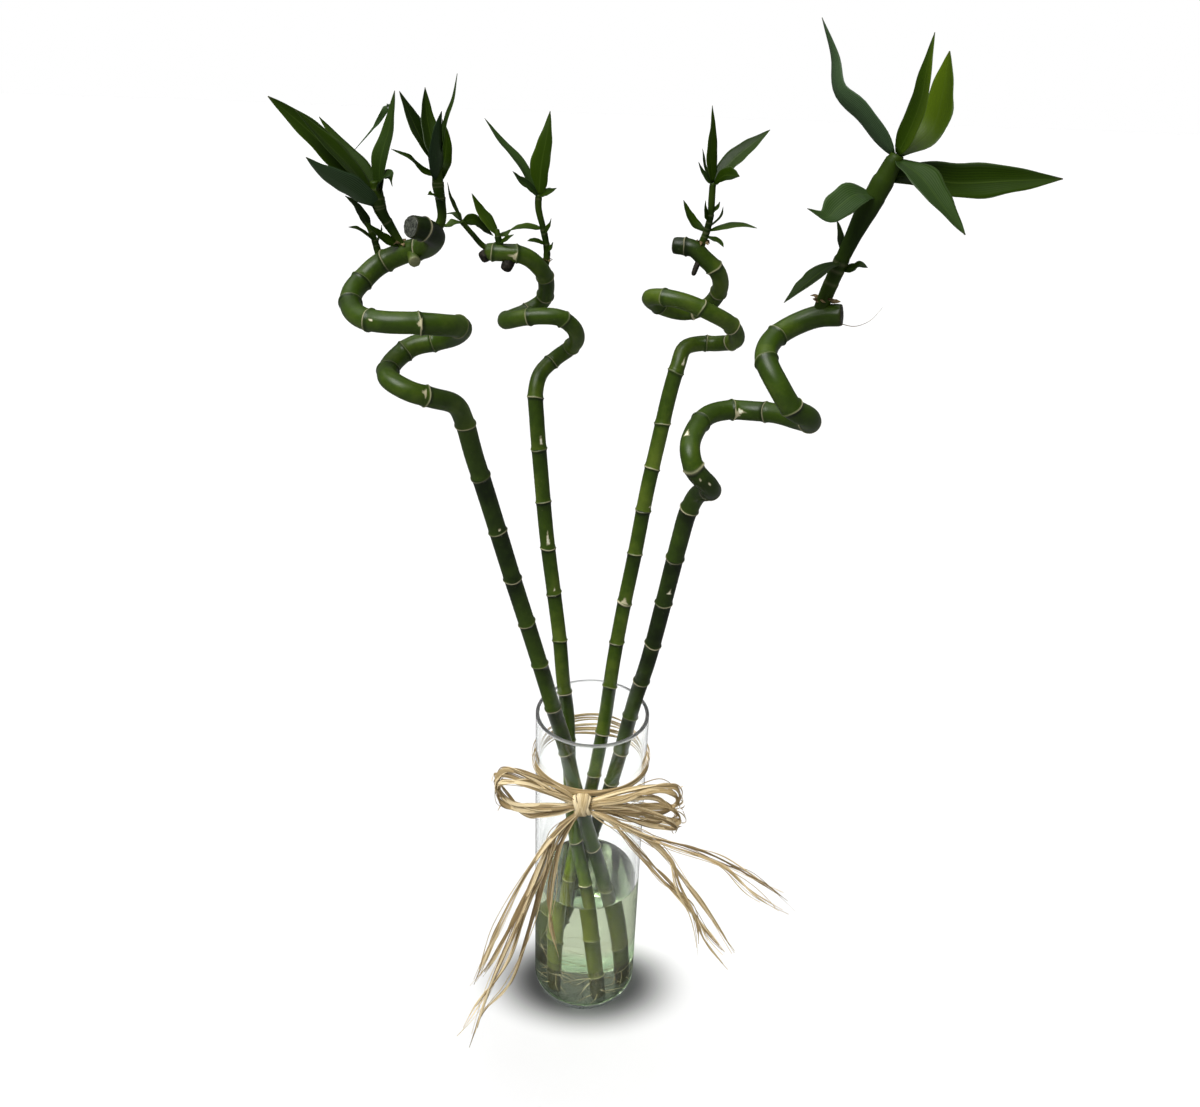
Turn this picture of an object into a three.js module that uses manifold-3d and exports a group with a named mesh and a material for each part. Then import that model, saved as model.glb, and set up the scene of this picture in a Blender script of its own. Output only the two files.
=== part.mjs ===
// Lucky bamboo: four curled canes in a glass cylinder vase of water, tied round with a raffia bow.
// Millimetres, +Z up. The origin is the centre of the vase's foot, on the surface it stands on.
// +X is to the right and +Y away from the viewer, with the plant seen from its front.
import * as THREE from 'three';
import { mergeVertices } from 'three/addons/utils/BufferGeometryUtils.js';
import Module from 'manifold-3d';

const wasm = await Module();
wasm.setup();

// ---- Driving dimensions ----
const GAP = 0.3;
const VASE = { radius: 40, height: 265, wall: 2.5, base: 9, heel: 13, innerHeel: 4 };
const WATER_LEVEL = 113;
const FLOOR = VASE.base + 1.2;
const BORE = VASE.radius - VASE.wall;
const ROUND_SIDES = 36;

// A ring is the scar that an old leaf leaves round a cane: far apart on the stem, close in the coil.
const RING = { stemStep: 30, coilStep: 16.5, swell: 0.5, halfWidth: 2 };
const BLADE = { thickness: 0.8, fold: 0.22 };
const RAFFIA = { width: 3.2, thickness: 0.8, height: 226, knot: [-4, -48.5, 219] };

const up = new THREE.Vector3(0, 0, 1);
const point = ([x, y, z]) => new THREE.Vector3(x, y, z);
const degrees = THREE.MathUtils.degToRad;

// ---- Solids from plain meshes ----
function geometryOf(points, faces) {
  const geometry = new THREE.BufferGeometry();
  const flat = points.flatMap((corner) => [corner.x, corner.y, corner.z]);
  geometry.setAttribute('position', new THREE.Float32BufferAttribute(flat, 3));
  geometry.setIndex(faces.flat());
  return geometry;
}

// Merges shared corners, drops faces without area and turns all faces outward.
function solidOf(source) {
  const bare = source.clone();
  bare.deleteAttribute('normal');
  bare.deleteAttribute('uv');
  const merged = mergeVertices(bare);
  const position = merged.getAttribute('position').array;
  const index = merged.getIndex().array;
  const corner = (i) => new THREE.Vector3().fromArray(position, 3 * i);
  let volume = 0;
  const kept = [];
  for (let i = 0; i < index.length; i += 3) {
    const [a, b, c] = [index[i], index[i + 1], index[i + 2]];
    if (a === b || b === c || c === a) continue;
    volume += corner(a).dot(corner(b).cross(corner(c)));
    kept.push([a, b, c]);
  }
  const faces = volume > 0 ? kept : kept.map(([a, b, c]) => [a, c, b]);
  const mesh = new wasm.Mesh({
    numProp: 3,
    vertProperties: new Float32Array(position),
    triVerts: new Uint32Array(faces.flat()),
  });
  return new wasm.Manifold(mesh);
}

const joined = (solids) => solids.reduce((whole, next) => whole.add(next));

// Cuts neighbours away, and keeps the one body that is left when loose scraps are dropped.
function clearOf(solid, neighbours) {
  const cut = neighbours.reduce((rest, neighbour) => rest.subtract(neighbour), solid);
  return cut.decompose().sort((a, b) => b.volume() - a.volume())[0];
}

// Skins rings of points that are alike in number, and closes both ends.
function loft(rings) {
  const sides = rings[0].length;
  const last = (rings.length - 1) * sides;
  const faces = [];
  for (let row = 0; row + 1 < rings.length; row++) {
    for (let side = 0; side < sides; side++) {
      const a = row * sides + side;
      const b = row * sides + ((side + 1) % sides);
      faces.push([a, b, b + sides], [a, b + sides, a + sides]);
    }
  }
  for (let side = 1; side + 1 < sides; side++) {
    faces.push([0, side + 1, side], [last, last + side, last + side + 1]);
  }
  return solidOf(geometryOf(rings.flat(), faces));
}

// Carries one cross direction along a curve without twist, and gives a frame at each station.
function framesAt(curve, stations) {
  let across = new THREE.Vector3(1, 0, 0);
  return stations.map((station) => {
    const along = curve.getTangentAt(station);
    across = across.clone().addScaledVector(along, -across.dot(along)).normalize();
    return { centre: curve.getPointAt(station), across, side: along.clone().cross(across) };
  });
}

function curveThrough(route) {
  const curve = new THREE.CatmullRomCurve3(route.map(point), false, 'centripetal');
  curve.arcLengthDivisions = 600;
  return curve;
}

// A round tube along a curve: stations run 0 to 1, and radiusAt gives the radius at each.
function tube(curve, stations, radiusAt, sides) {
  return loft(framesAt(curve, stations).map(({ centre, across, side }, i) => {
    const radius = radiusAt(stations[i]);
    return Array.from({ length: sides }, (_, k) => {
      const angle = (2 * Math.PI * k) / sides;
      return centre.clone()
        .addScaledVector(across, radius * Math.cos(angle))
        .addScaledVector(side, radius * Math.sin(angle));
    });
  }));
}

const evenly = (steps) => Array.from({ length: steps + 1 }, (_, i) => i / steps);

function lathe(profile, sides) {
  const outline = profile.map(([radius, height]) => new THREE.Vector2(radius, height));
  return solidOf(new THREE.LatheGeometry(outline, sides).rotateX(Math.PI / 2));
}

// Points of a quarter arc in a lathe profile, from one angle in degrees to another.
function arc(centreRadius, centreHeight, radius, from, to, steps) {
  return evenly(steps).map((t) => {
    const angle = degrees(from + (to - from) * t);
    return [centreRadius + radius * Math.cos(angle), centreHeight + radius * Math.sin(angle)];
  });
}

// ---- Vase: a blown cylinder of clear glass with a thick base, a round heel and a fire-polished lip ----
function vase() {
  const { radius, height, wall, base, heel, innerHeel } = VASE;
  return lathe([
    [0, 0],
    ...arc(radius - heel, heel, heel, -90, 0, 4),
    ...arc(radius - wall / 2, height - wall / 2, wall / 2, 0, 180, 4),
    ...arc(BORE - innerHeel, base + innerHeel, innerHeel, 0, -90, 3),
    [0, base],
  ], ROUND_SIDES);
}

// ---- Canes: each route runs from the cut foot in the water, up the stem and round the coil ----
const CANES = [
  {
    name: 'cane_1', footRadius: 5.3, topRadius: 5.5,
    route: [
      [23, -5, FLOOR], [20, -8, 60], [13, -10, 113], [5, -10, 145], [-2, -9, 170], [-12, -7, 207],
      [-18, -8, 238], [-27, -12, 274], [-35, -17, 309], [-43, -23, 344], [-53, -31, 387],
      [-59, -36, 414], [-67, -44, 451], [-72, -50, 474], [-76, -58, 498], [-79, -66, 509],
      [-89, -82, 518], [-99, -88, 523], [-109, -84, 527], [-113, -71, 528], [-111, -57, 531],
      [-103, -50, 536], [-91, -49, 539], [-80, -56, 544], [-74, -70, 552], [-81, -86, 557],
      [-94, -92, 559], [-108, -92, 559], [-120, -86, 559], [-129, -73, 561], [-131, -60, 566],
      [-127, -52, 571], [-119, -48, 578], [-102, -50, 586], [-93, -55, 589], [-86, -70, 597],
      [-89, -82, 602], [-94, -88, 604],
    ],
  },
  {
    name: 'cane_2', footRadius: 4.9, topRadius: 5.1,
    route: [
      [10, -22, FLOOR], [5, -18, 60], [-1, -12, 113], [-8, -7, 145], [-13, 0, 175], [-16, 10, 210],
      [-18, 19, 246], [-22, 23, 275], [-25, 27, 306], [-29, 31, 336], [-35, 36, 380], [-40, 42, 429],
      [-43, 46, 463], [-44, 50, 482], [-41, 56, 492], [-32, 62, 500], [-23, 58, 508], [-18, 47, 517],
      [-20, 34, 528], [-28, 28, 535], [-38, 27, 536], [-50, 30, 534], [-62, 40, 529], [-60, 53, 528],
      [-50, 60, 531], [-41, 61, 537], [-38, 54, 545], [-38, 44, 556], [-41, 36, 563], [-47, 32, 569],
      [-55, 30, 572], [-65, 31, 572], [-72, 33, 572],
    ],
  },
  {
    name: 'cane_3', footRadius: 4.9, topRadius: 5.1,
    route: [
      [-19, -16, FLOOR], [-17, -8, 60], [-13, 1, 113], [-8, 6, 145], [-1, 11, 175], [4, 15, 205],
      [9, 21, 241], [14, 28, 290], [19, 33, 328], [26, 39, 373], [32, 45, 416], [38, 50, 450],
      [44, 55, 483], [48, 58, 499], [52, 64, 509], [62, 70, 511], [74, 68, 512], [84, 55, 518],
      [78, 41, 531], [64, 33, 540], [49, 32, 546], [36, 35, 548], [27, 46, 545], [36, 61, 536],
      [52, 71, 531], [65, 69, 536], [71, 59, 548], [70, 50, 557], [66, 44, 564], [58, 42, 571],
      [52, 42, 576], [45, 44, 577], [40, 46, 577],
    ],
  },
  {
    name: 'cane_4', footRadius: 4.9, topRadius: 5.7,
    route: [
      [-18, 18, FLOOR], [-12, 18, 60], [-4, 15, 113], [5, 12, 150], [12, 6, 180], [20, 2, 222],
      [29, -6, 279], [36, -14, 317], [43, -26, 370], [49, -38, 419], [52, -46, 442], [56, -53, 456],
      [61, -66, 464], [59, -78, 472], [50, -85, 484], [47, -82, 493], [49, -70, 498], [58, -52, 503],
      [70, -44, 504], [83, -44, 504], [96, -50, 505], [106, -62, 506], [109, -77, 510],
      [105, -90, 517], [95, -97, 524], [87, -98, 535], [81, -91, 545], [82, -81, 549], [87, -72, 553],
      [97, -66, 558], [109, -66, 563], [120, -70, 565],
    ],
  },
];
const COIL_HEIGHT = 500;
const CANE_SIDES = 7;

// Stubs, cut side shoots and dry buds that stand out of a cane: from its middle outward.
const STUBS = {
  cane_1: [{ from: [-101, -52, 586], to: [-98, -60, 582], radius: 3 }],
  cane_2: [
    { from: [-69, 33, 572], to: [-76, 31, 568], radius: 3.2 },
    { from: [-57, 31, 571], to: [-59, 28, 562], radius: 2.6 },
  ],
  cane_3: [{ from: [56, 42, 572], to: [52, 38, 561], radius: 1.7 }],
};

// Lengths along the cane of its rings, one step nearer to the next in the coil than on the stem.
function ringsOf(curve, length) {
  const rings = [];
  let at = RING.stemStep * 0.6;
  while (at < length - RING.halfWidth * 2) {
    rings.push(at);
    const coiled = curve.getPointAt(at / length).z > COIL_HEIGHT;
    const step = coiled ? RING.coilStep : RING.stemStep;
    at += step * (1 + 0.12 * Math.sin(7.3 * rings.length));
  }
  return rings;
}

function caneTube(cane, extra = 0) {
  const curve = curveThrough(cane.route);
  const length = curve.getLength();
  const rings = ringsOf(curve, length);
  const places = [0];
  for (const ring of [...rings, length + RING.halfWidth]) {
    const before = places.at(-1);
    const span = ring - RING.halfWidth - before;
    const coiled = curve.getPointAt(before / length).z > COIL_HEIGHT - 30;
    const steps = Math.max(1, Math.round(span / (coiled ? 6.5 : 26)));
    for (let k = 1; k <= steps; k++) places.push(before + (span * k) / steps);
    if (ring < length) places.push(ring);
    if (ring < length && !coiled) places.push(ring + RING.halfWidth);
  }
  const radiusAt = (station) => {
    const along = station * length;
    const nearest = Math.min(...rings.map((ring) => Math.abs(ring - along)));
    const swell = RING.swell * Math.max(0, 1 - nearest / RING.halfWidth);
    return THREE.MathUtils.lerp(cane.footRadius, cane.topRadius, station) + swell + extra;
  };
  return tube(curve, places.map((place) => place / length), radiusAt, CANE_SIDES);
}

// ---- Roots: short, in a tuft round each cut foot, sunk into the cane ----
const ROOTS = { count: 4, lowest: 6, spread: 24, reach: 1.8, drop: 8, radius: 0.8, golden: 137.5 };
const ROOT_HOLE = { radius: 10.6, height: 40 };

function rootTuft(cane) {
  const curve = curveThrough(cane.route);
  const length = curve.getLength();
  return Array.from({ length: ROOTS.count }, (_, k) => {
    const height = ROOTS.lowest + (ROOTS.spread * k) / ROOTS.count;
    const start = curve.getPointAt(height / length);
    const out = new THREE.Vector3(1, 0, 0).applyAxisAngle(up, degrees(ROOTS.golden * k));
    const edge = start.clone().addScaledVector(out, cane.footRadius + 0.6);
    const tip = edge.clone().addScaledVector(out, ROOTS.reach * (0.5 + 0.5 * Math.cos(3 * k) ** 2));
    tip.z = Math.max(FLOOR + 0.8, start.z - ROOTS.drop);
    const root = new THREE.QuadraticBezierCurve3(start, edge, tip);
    return tube(root, evenly(2), (t) => ROOTS.radius * (1 - 0.4 * t), 3);
  });
}

function stubs(cane, extra = 0) {
  return (STUBS[cane.name] ?? []).map(({ from, to, radius }) => {
    const line = new THREE.LineCurve3(point(from), point(to));
    return tube(line, [0, 0.85, 1], (t) => radius * (t > 0.9 ? 0.75 : 1) + extra, 8);
  });
}

function caneSolid(cane) {
  return joined([caneTube(cane), ...rootTuft(cane), ...stubs(cane)]);
}

// ---- Water: fills the vase to its level, with a plain hole for each cane and its roots ----
function water() {
  const radius = BORE - GAP;
  const heel = VASE.innerHeel;
  const bottom = VASE.base + GAP;
  const body = lathe([
    [0, bottom],
    ...arc(radius - heel, bottom + heel, heel, -90, 0, 3),
    [radius, WATER_LEVEL],
    [0, WATER_LEVEL],
  ], ROUND_SIDES);
  const holes = CANES.flatMap((cane) => {
    const hole = new THREE.CylinderGeometry(ROOT_HOLE.radius, ROOT_HOLE.radius, ROOT_HOLE.height, 10);
    const [x, y, z] = cane.route[0];
    hole.rotateX(Math.PI / 2).translate(x * 0.95, y * 0.95, z + ROOT_HOLE.height / 2 - 4);
    return [caneTube(cane, GAP), solidOf(hole)];
  });
  return clearOf(body, holes);
}

// ---- Leafy shoots: each is a stem that grows from a cane, with its leaves clasping it ----
// from: how far up the stem the leaf grows, 0 to 1. rib: points that its middle rib runs through
// after the stem, to the tip. width: of the blade, in mm. turn: degrees that its face is turned
// about the rib, from facing up. fullest: how far along the rib the blade is widest, 0 to 1.
const leaf = (from, rib, width, turn, fullest = 0.42) => ({ from, rib, width, turn, fullest });

const SHOOTS = [
  {
    name: 'shoot_1_left', cane: 'cane_1', radii: [2.2, 2.3, 3, 3.6, 2.4],
    stem: [[-103, -50, 583], [-110, -52, 596], [-115, -54, 606], [-116, -55, 614], [-117, -56, 620]],
    leaves: [
      leaf(0.83, [[-131, -57, 627], [-147, -58, 643], [-164, -60, 657]], 16, -44, 0.50),
      leaf(0.87, [[-129, -50, 629], [-136, -46, 635], [-153, -42, 649]], 15, -25),
      leaf(0.80, [[-126, -44, 625], [-136, -38, 634], [-148, -32, 647]], 12, -2),
      leaf(0.81, [[-128, -66, 619], [-138, -72, 626], [-144, -76, 632]], 15, 39),
      leaf(0.95, [[-113, -58, 630], [-108, -56, 645], [-105, -52, 661]], 11, 37),
      leaf(0.92, [[-112, -48, 638], [-109, -44, 655], [-118, -42, 644], [-130, -40, 632]], 4, 17),
      leaf(0.88, [[-111, -62, 623], [-107, -66, 624], [-106, -66, 619]], 9, 42),
      leaf(0.15, [[-113, -55, 592], [-117, -58, 596], [-122, -60, 601]], 7, -42),
      leaf(0.50, [[-117, -54, 606], [-119, -55, 609], [-121, -56, 611]], 8, -30),
    ],
  },
  {
    name: 'shoot_1_bud', cane: 'cane_1', radii: [2, 1.6, 1.4],
    stem: [[-118, -48, 579], [-121, -46, 590], [-124, -46, 598]],
    leaves: [
      leaf(0.80, [[-127, -44, 602], [-131, -44, 608], [-135, -44, 611]], 8, -12),
      leaf(0.56, [[-124, -52, 594], [-127, -55, 597], [-131, -58, 598]], 5, -36),
      leaf(0.43, [[-120, -40, 590], [-119, -38, 593], [-119, -36, 596]], 4, -44),
    ],
  },
  {
    name: 'shoot_1_right', cane: 'cane_1', radii: [2.6, 2.2, 2.2, 2.6, 2],
    stem: [[-86, -70, 598], [-82, -70, 605], [-82, -70, 613], [-83, -70, 621], [-83, -70, 629]],
    leaves: [
      leaf(0.98, [[-91, -64, 641], [-96, -60, 650], [-102, -56, 661]], 11, 5, 0.50),
      leaf(0.98, [[-87, -62, 643], [-89, -58, 652], [-90, -54, 663]], 7, 42),
      leaf(0.98, [[-91, -56, 643], [-94, -50, 648], [-98, -46, 653]], 7, 89),
      leaf(0.98, [[-77, -76, 650], [-73, -78, 660], [-71, -78, 670]], 6, 59),
      leaf(0.78, [[-82, -76, 633], [-81, -78, 644], [-79, -76, 654]], 11, 23),
      leaf(0.74, [[-80, -66, 632], [-79, -66, 642], [-80, -68, 650]], 8, 41),
      leaf(0.88, [[-90, -78, 629], [-93, -84, 634], [-101, -88, 638]], 6, -42),
      leaf(0.56, [[-83, -76, 616], [-84, -80, 618], [-86, -83, 618]], 7, -32),
    ],
  },
  {
    name: 'shoot_2_tip', cane: 'cane_2', radii: [1.8, 1.7, 1.5, 1.3],
    stem: [[-67, 32, 573], [-74, 33, 575], [-80, 30, 582], [-86, 26, 590]],
    leaves: [
      leaf(0.98, [[-89, 24, 598], [-91, 20, 604], [-92, 18, 612]], 4, -72),
      leaf(0.98, [[-89, 22, 590], [-93, 20, 588], [-97, 18, 588]], 8, -12),
      leaf(0.98, [[-79, 32, 590], [-74, 36, 585], [-69, 40, 580]], 8, 57),
      leaf(0.98, [[-89, 30, 593], [-92, 34, 593], [-97, 38, 592]], 5, -13),
    ],
  },
  {
    name: 'shoot_2_bud', cane: 'cane_2', radii: [2.2, 2, 1.5],
    stem: [[-63, 31, 573], [-65, 31, 580], [-66, 32, 585]],
    leaves: [
      leaf(0.69, [[-71, 34, 589], [-76, 36, 595], [-81, 38, 604]], 9, -17),
      leaf(0.68, [[-63, 36, 581], [-61, 39, 582], [-58, 42, 584]], 5, 12),
      leaf(0.42, [[-61, 27, 580], [-58, 24, 582], [-55, 22, 584]], 5, 48),
    ],
  },
  {
    name: 'shoot_2_right', cane: 'cane_2', radii: [2.1, 1.9, 1.8, 1.8, 1.9, 1.8],
    stem: [[-39, 41, 559], [-37, 42, 567], [-37, 42, 574], [-39, 42, 584], [-42, 42, 596], [-42, 42, 604]],
    leaves: [
      leaf(0.96, [[-41, 44, 620], [-38, 46, 635], [-36, 50, 649]], 14, 7, 0.36),
      leaf(0.98, [[-53, 46, 621], [-64, 48, 632], [-74, 50, 644]], 8, -22),
      leaf(0.98, [[-48, 36, 610], [-52, 32, 613], [-56, 28, 618]], 7, -61),
      leaf(0.98, [[-37, 38, 606], [-34, 36, 607], [-31, 34, 609]], 6, 48),
      leaf(0.51, [[-37, 38, 585], [-35, 36, 588], [-34, 34, 592]], 4, 83),
      leaf(0.38, [[-42, 38, 578], [-45, 35, 579], [-48, 32, 579]], 5, -34),
      leaf(0.27, [[-36, 40, 573], [-34, 39, 575], [-33, 38, 578]], 4, 67),
      leaf(0.57, [[-47, 40, 586], [-53, 38, 586], [-59, 36, 584]], 6, -28),
    ],
  },
  {
    name: 'shoot_3', cane: 'cane_3', radii: [2.6, 2, 1.8, 2, 1.7],
    stem: [[54, 44, 573], [58, 42, 584], [60, 40, 595], [60, 40, 606], [60, 40, 614]],
    leaves: [
      leaf(0.98, [[58, 42, 629], [58, 45, 642], [57, 48, 655]], 10, 27, 0.32),
      leaf(0.98, [[69, 44, 625], [80, 48, 634], [92, 52, 643]], 12, 34),
      leaf(0.98, [[65, 34, 619], [69, 28, 620], [73, 22, 620]], 11, 54),
      leaf(0.98, [[55, 42, 622], [54, 44, 627], [53, 46, 632]], 5, 14),
      leaf(0.98, [[55, 36, 618], [52, 34, 622], [50, 32, 626]], 5, -63),
      leaf(0.33, [[51, 44, 591], [47, 46, 597], [44, 48, 603]], 7, -27),
      leaf(0.48, [[57, 37, 597], [56, 35, 601], [56, 34, 605]], 5, -90),
      leaf(0.58, [[62, 40, 599], [64, 40, 601], [65, 40, 604]], 4, 27),
      leaf(0.39, [[64, 44, 592], [67, 46, 595], [68, 48, 600]], 4, -16),
      leaf(0.34, [[69, 38, 590], [78, 34, 592], [87, 30, 591]], 6, 30),
      leaf(0.28, [[63, 36, 583], [66, 32, 582], [68, 28, 580]], 6, 6),
    ],
  },
  {
    name: 'shoot_4', cane: 'cane_4', radii: [3.8, 3.6, 3.6, 4.2, 5.8, 5.4, 3.6],
    stem: [
      [109, -66, 564], [111, -67, 573], [114, -68, 584], [117, -70, 595], [123, -72, 613],
      [129, -74, 628], [134, -76, 642],
    ],
    leaves: [
      leaf(0.98, [[118, -72, 658], [106, -66, 671], [100, -60, 684], [95, -56, 698]], 13, 74, 0.28),
      leaf(0.98, [[137, -82, 657], [138, -86, 667], [138, -87, 678], [140, -84, 693]], 12, 82, 0.32),
      leaf(0.98, [[148, -74, 653], [151, -72, 667], [152, -70, 686]], 19, 15, 0.45),
      leaf(0.86, [[145, -72, 633], [166, -66, 630], [195, -60, 631], [222, -56, 632]], 20, 53, 0.46),
      leaf(0.98, [[142, -92, 635], [150, -102, 625], [161, -110, 612]], 17, 15),
      leaf(0.76, [[115, -84, 625], [106, -92, 620], [100, -98, 616], [90, -102, 620]], 16, -28),
      leaf(0.37, [[115, -66, 600], [115, -63, 604], [113, -60, 610]], 7, 29),
      leaf(0.35, [[106, -78, 589], [97, -86, 584], [86, -92, 575]], 13, 4),
      leaf(0.29, [[122, -72, 589], [124, -74, 591], [128, -76, 590]], 6, 40),
      leaf(0.21, [[117, -66, 585], [118, -64, 588], [119, -62, 591]], 8, -32),
    ],
  },
];
const STEM_SIDES = 6;
const LONG_LEAF = 36;

// Half the leaf's width along its rib, 0 at nothing and 1 at the widest: a narrow clasping base, a
// swell to its fullest and a long drawn tip.
function leafOutline(t, fullest) {
  const bulge = Math.sin(Math.PI * Math.min(t, 0.999) ** (Math.log(0.5) / Math.log(fullest)));
  return Math.max(0.07, bulge ** 0.9 * (1 - 0.35 * t * t) + 0.28 * (1 - t) ** 10);
}

// A blade, folded along its rib if it is long: top and bottom are split into triangles alike.
function blade(base, { rib, width, turn, fullest }, extra = 0) {
  const curve = new THREE.CatmullRomCurve3([base, ...rib.map(point)], false, 'centripetal');
  const along = point(rib.at(-1)).sub(base).normalize();
  const face = up.clone().addScaledVector(along, -along.z).normalize();
  face.applyAxisAngle(along, degrees(turn));
  const half = BLADE.thickness / 2 + extra;
  const points = [];
  const long = curve.getLength() >= LONG_LEAF;
  const stations = long ? [0, 0.14, 0.36, 0.6, 0.82, 1] : [0, 0.35, 0.7, 1];
  const edges = long ? [-1, 0, 1] : [-1, 1];
  for (const t of stations) {
    const centre = curve.getPointAt(t);
    const forward = curve.getTangentAt(t);
    const out = face.clone().addScaledVector(forward, -face.dot(forward)).normalize();
    const side = forward.clone().cross(out);
    const reach = (leafOutline(t, fullest) * width) / 2 + extra;
    for (const layer of [half, -half]) {
      for (const edge of edges) {
        points.push(centre.clone()
          .addScaledVector(side, edge * reach)
          .addScaledVector(out, layer + (Math.abs(edge) - 0.5) * reach * BLADE.fold));
      }
    }
  }
  // Each station holds its top corners and then its bottom ones, from one edge to the other.
  const faces = [];
  const quad = (a, b, c, d) => faces.push([a, b, c], [a, c, d]);
  const wide = edges.length;
  const next = wide * 2;
  const last = (stations.length - 1) * next;
  for (let row = 0; row < last; row += next) {
    for (let top = row; top < row + wide - 1; top++) {
      const under = top + wide;
      quad(top, top + 1, top + next + 1, top + next);
      faces.push([under, under + next + 1, under + 1], [under, under + next, under + next + 1]);
    }
    quad(row, row + next, row + next + wide, row + wide);
    quad(row + wide - 1, row + next - 1, row + next + next - 1, row + next + wide - 1);
  }
  for (let top = 0; top < wide - 1; top++) {
    quad(top, top + wide, top + wide + 1, top + 1);
    quad(last + top, last + top + 1, last + top + wide + 1, last + top + wide);
  }
  return solidOf(geometryOf(points, faces));
}

function shootSolid(shoot, extra = 0) {
  const curve = curveThrough(shoot.stem);
  const spans = shoot.radii.length - 1;
  const radiusAt = (t) => {
    const span = Math.min(spans - 1, Math.floor(t * spans));
    return THREE.MathUtils.lerp(shoot.radii[span], shoot.radii[span + 1], t * spans - span) + extra;
  };
  const stem = tube(curve, evenly(spans * 2), radiusAt, STEM_SIDES);
  const blades = shoot.leaves.map((each) => {
    const axis = curve.getPointAt(each.from);
    const outward = point(each.rib[0]).sub(axis).setLength(0.6 * radiusAt(each.from));
    return blade(axis.add(outward), each, extra);
  });
  return joined([stem, ...blades]);
}

// ---- Raffia: dry palm strips, in a band round the vase, a knot, two loops and hanging tails ----
const LOOP_LEFT = [
  [[-6, -47, 222], [-20, -50, 235], [-40, -50, 244], [-57, -47, 248], [-64, -42, 231], [-60, -41, 214],
    [-41, -44, 210], [-20, -46, 216], [-6, -47, 220]],
  [[-6, -47, 221], [-23, -53, 233], [-43, -54, 242], [-59, -50, 239], [-61, -44, 226], [-53, -44, 217],
    [-30, -47, 218], [-6, -47, 220]],
  [[-6, -47, 221], [-22, -49, 231], [-42, -47, 239], [-58, -44, 243], [-63, -39, 235], [-60, -38, 220],
    [-42, -42, 207], [-22, -46, 213], [-6, -47, 220]],
];
const LOOP_RIGHT = [
  [[-2, -47, 222], [20, -50, 235], [40, -51, 242], [58, -47, 239], [62, -43, 224], [52, -46, 215],
    [31, -50, 218], [-2, -48, 221]],
  [[-2, -47, 222], [22, -55, 232], [41, -57, 242], [57, -52, 237], [59, -46, 221], [45, -47, 221],
    [24, -49, 222], [-2, -48, 221]],
  [[-2, -47, 222], [22, -52, 225], [41, -53, 221], [57, -50, 211], [61, -44, 200], [46, -43, 200],
    [25, -45, 208], [-2, -47, 220]],
  [[-2, -47, 222], [21, -49, 228], [44, -49, 229], [58, -46, 217], [62, -42, 204], [46, -42, 206],
    [25, -44, 214], [-2, -47, 220]],
];
const TAILS_LEFT = [
  [[-6, -49, 217], [-22, -54, 203], [-33, -60, 175], [-50, -64, 129], [-64, -64, 93], [-85, -62, 52]],
  [[-6, -49, 217], [-22, -55, 202], [-32, -62, 176], [-48, -69, 132], [-68, -74, 73], [-84, -86, 11]],
  [[-6, -49, 217], [-20, -53, 203], [-29, -58, 172], [-42, -62, 141], [-55, -70, 95], [-78, -76, 51],
    [-94, -80, 17]],
  [[-6, -49, 217], [-24, -56, 201], [-39, -66, 180], [-60, -72, 134], [-72, -70, 94], [-86, -68, 50]],
  [[-6, -49, 217], [-19, -52, 199], [-27, -56, 169], [-40, -60, 114], [-56, -66, 64], [-76, -70, 39],
    [-82, -76, 18]],
  [[-6, -49, 217], [-18, -52, 191], [-25, -50, 132], [-25, -49, 107], [-18, -48, 73]],
];
const TAILS_RIGHT = [
  [[-2, -49, 217], [12, -51, 212], [33, -50, 185], [54, -53, 160], [72, -56, 143], [87, -60, 110],
    [105, -66, 86]],
  [[-2, -49, 217], [12, -51, 212], [33, -51, 186], [53, -54, 163], [72, -58, 142], [91, -62, 115],
    [106, -68, 100]],
  [[-2, -49, 217], [12, -51, 213], [41, -52, 197], [57, -54, 181], [65, -58, 161], [78, -62, 132],
    [84, -66, 95]],
  [[-2, -49, 218], [14, -52, 213], [37, -54, 201], [70, -54, 192], [91, -53, 182], [117, -52, 164],
    [147, -52, 140]],
  [[-2, -49, 218], [14, -52, 213], [37, -55, 200], [57, -56, 195], [92, -58, 179], [117, -60, 158],
    [144, -62, 138]],
  [[-2, -49, 217], [12, -51, 212], [43, -52, 193], [75, -54, 150], [112, -58, 90]],
];

// A flat strip: its width lies as near as it can to the given cross direction.
function strip(route, cross, steps, extra = 0) {
  const curve = curveThrough(route);
  const wide = RAFFIA.width / 2 + extra;
  const thick = RAFFIA.thickness / 2 + extra;
  return loft(evenly(steps).map((station) => {
    const along = curve.getTangentAt(station);
    const across = point(cross).addScaledVector(along, -point(cross).dot(along)).normalize();
    const out = along.clone().cross(across);
    const centre = curve.getPointAt(station);
    const narrow = station > 0.8 ? 1 - (station - 0.8) : 1;
    return [[-1, -1], [1, -1], [1, 1], [-1, 1]].map(([i, j]) => centre.clone()
      .addScaledVector(across, i * wide * narrow)
      .addScaledVector(out, j * thick));
  }));
}

function lump([x, y, z], [width, depth, height], ridges = 0) {
  const ball = new THREE.SphereGeometry(1, 10, 7);
  const position = ball.getAttribute('position');
  for (let i = 0; i < position.count; i++) {
    const swell = 1 + 0.1 * Math.cos(ridges * Math.PI * position.getX(i));
    const [px, py, pz] = [position.getX(i), position.getY(i), position.getZ(i)];
    const wrap = ridges ? swell : 1;
    position.setXYZ(i, x + px * width, y + py * depth * wrap, z + pz * height * wrap);
  }
  return solidOf(ball);
}

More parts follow.
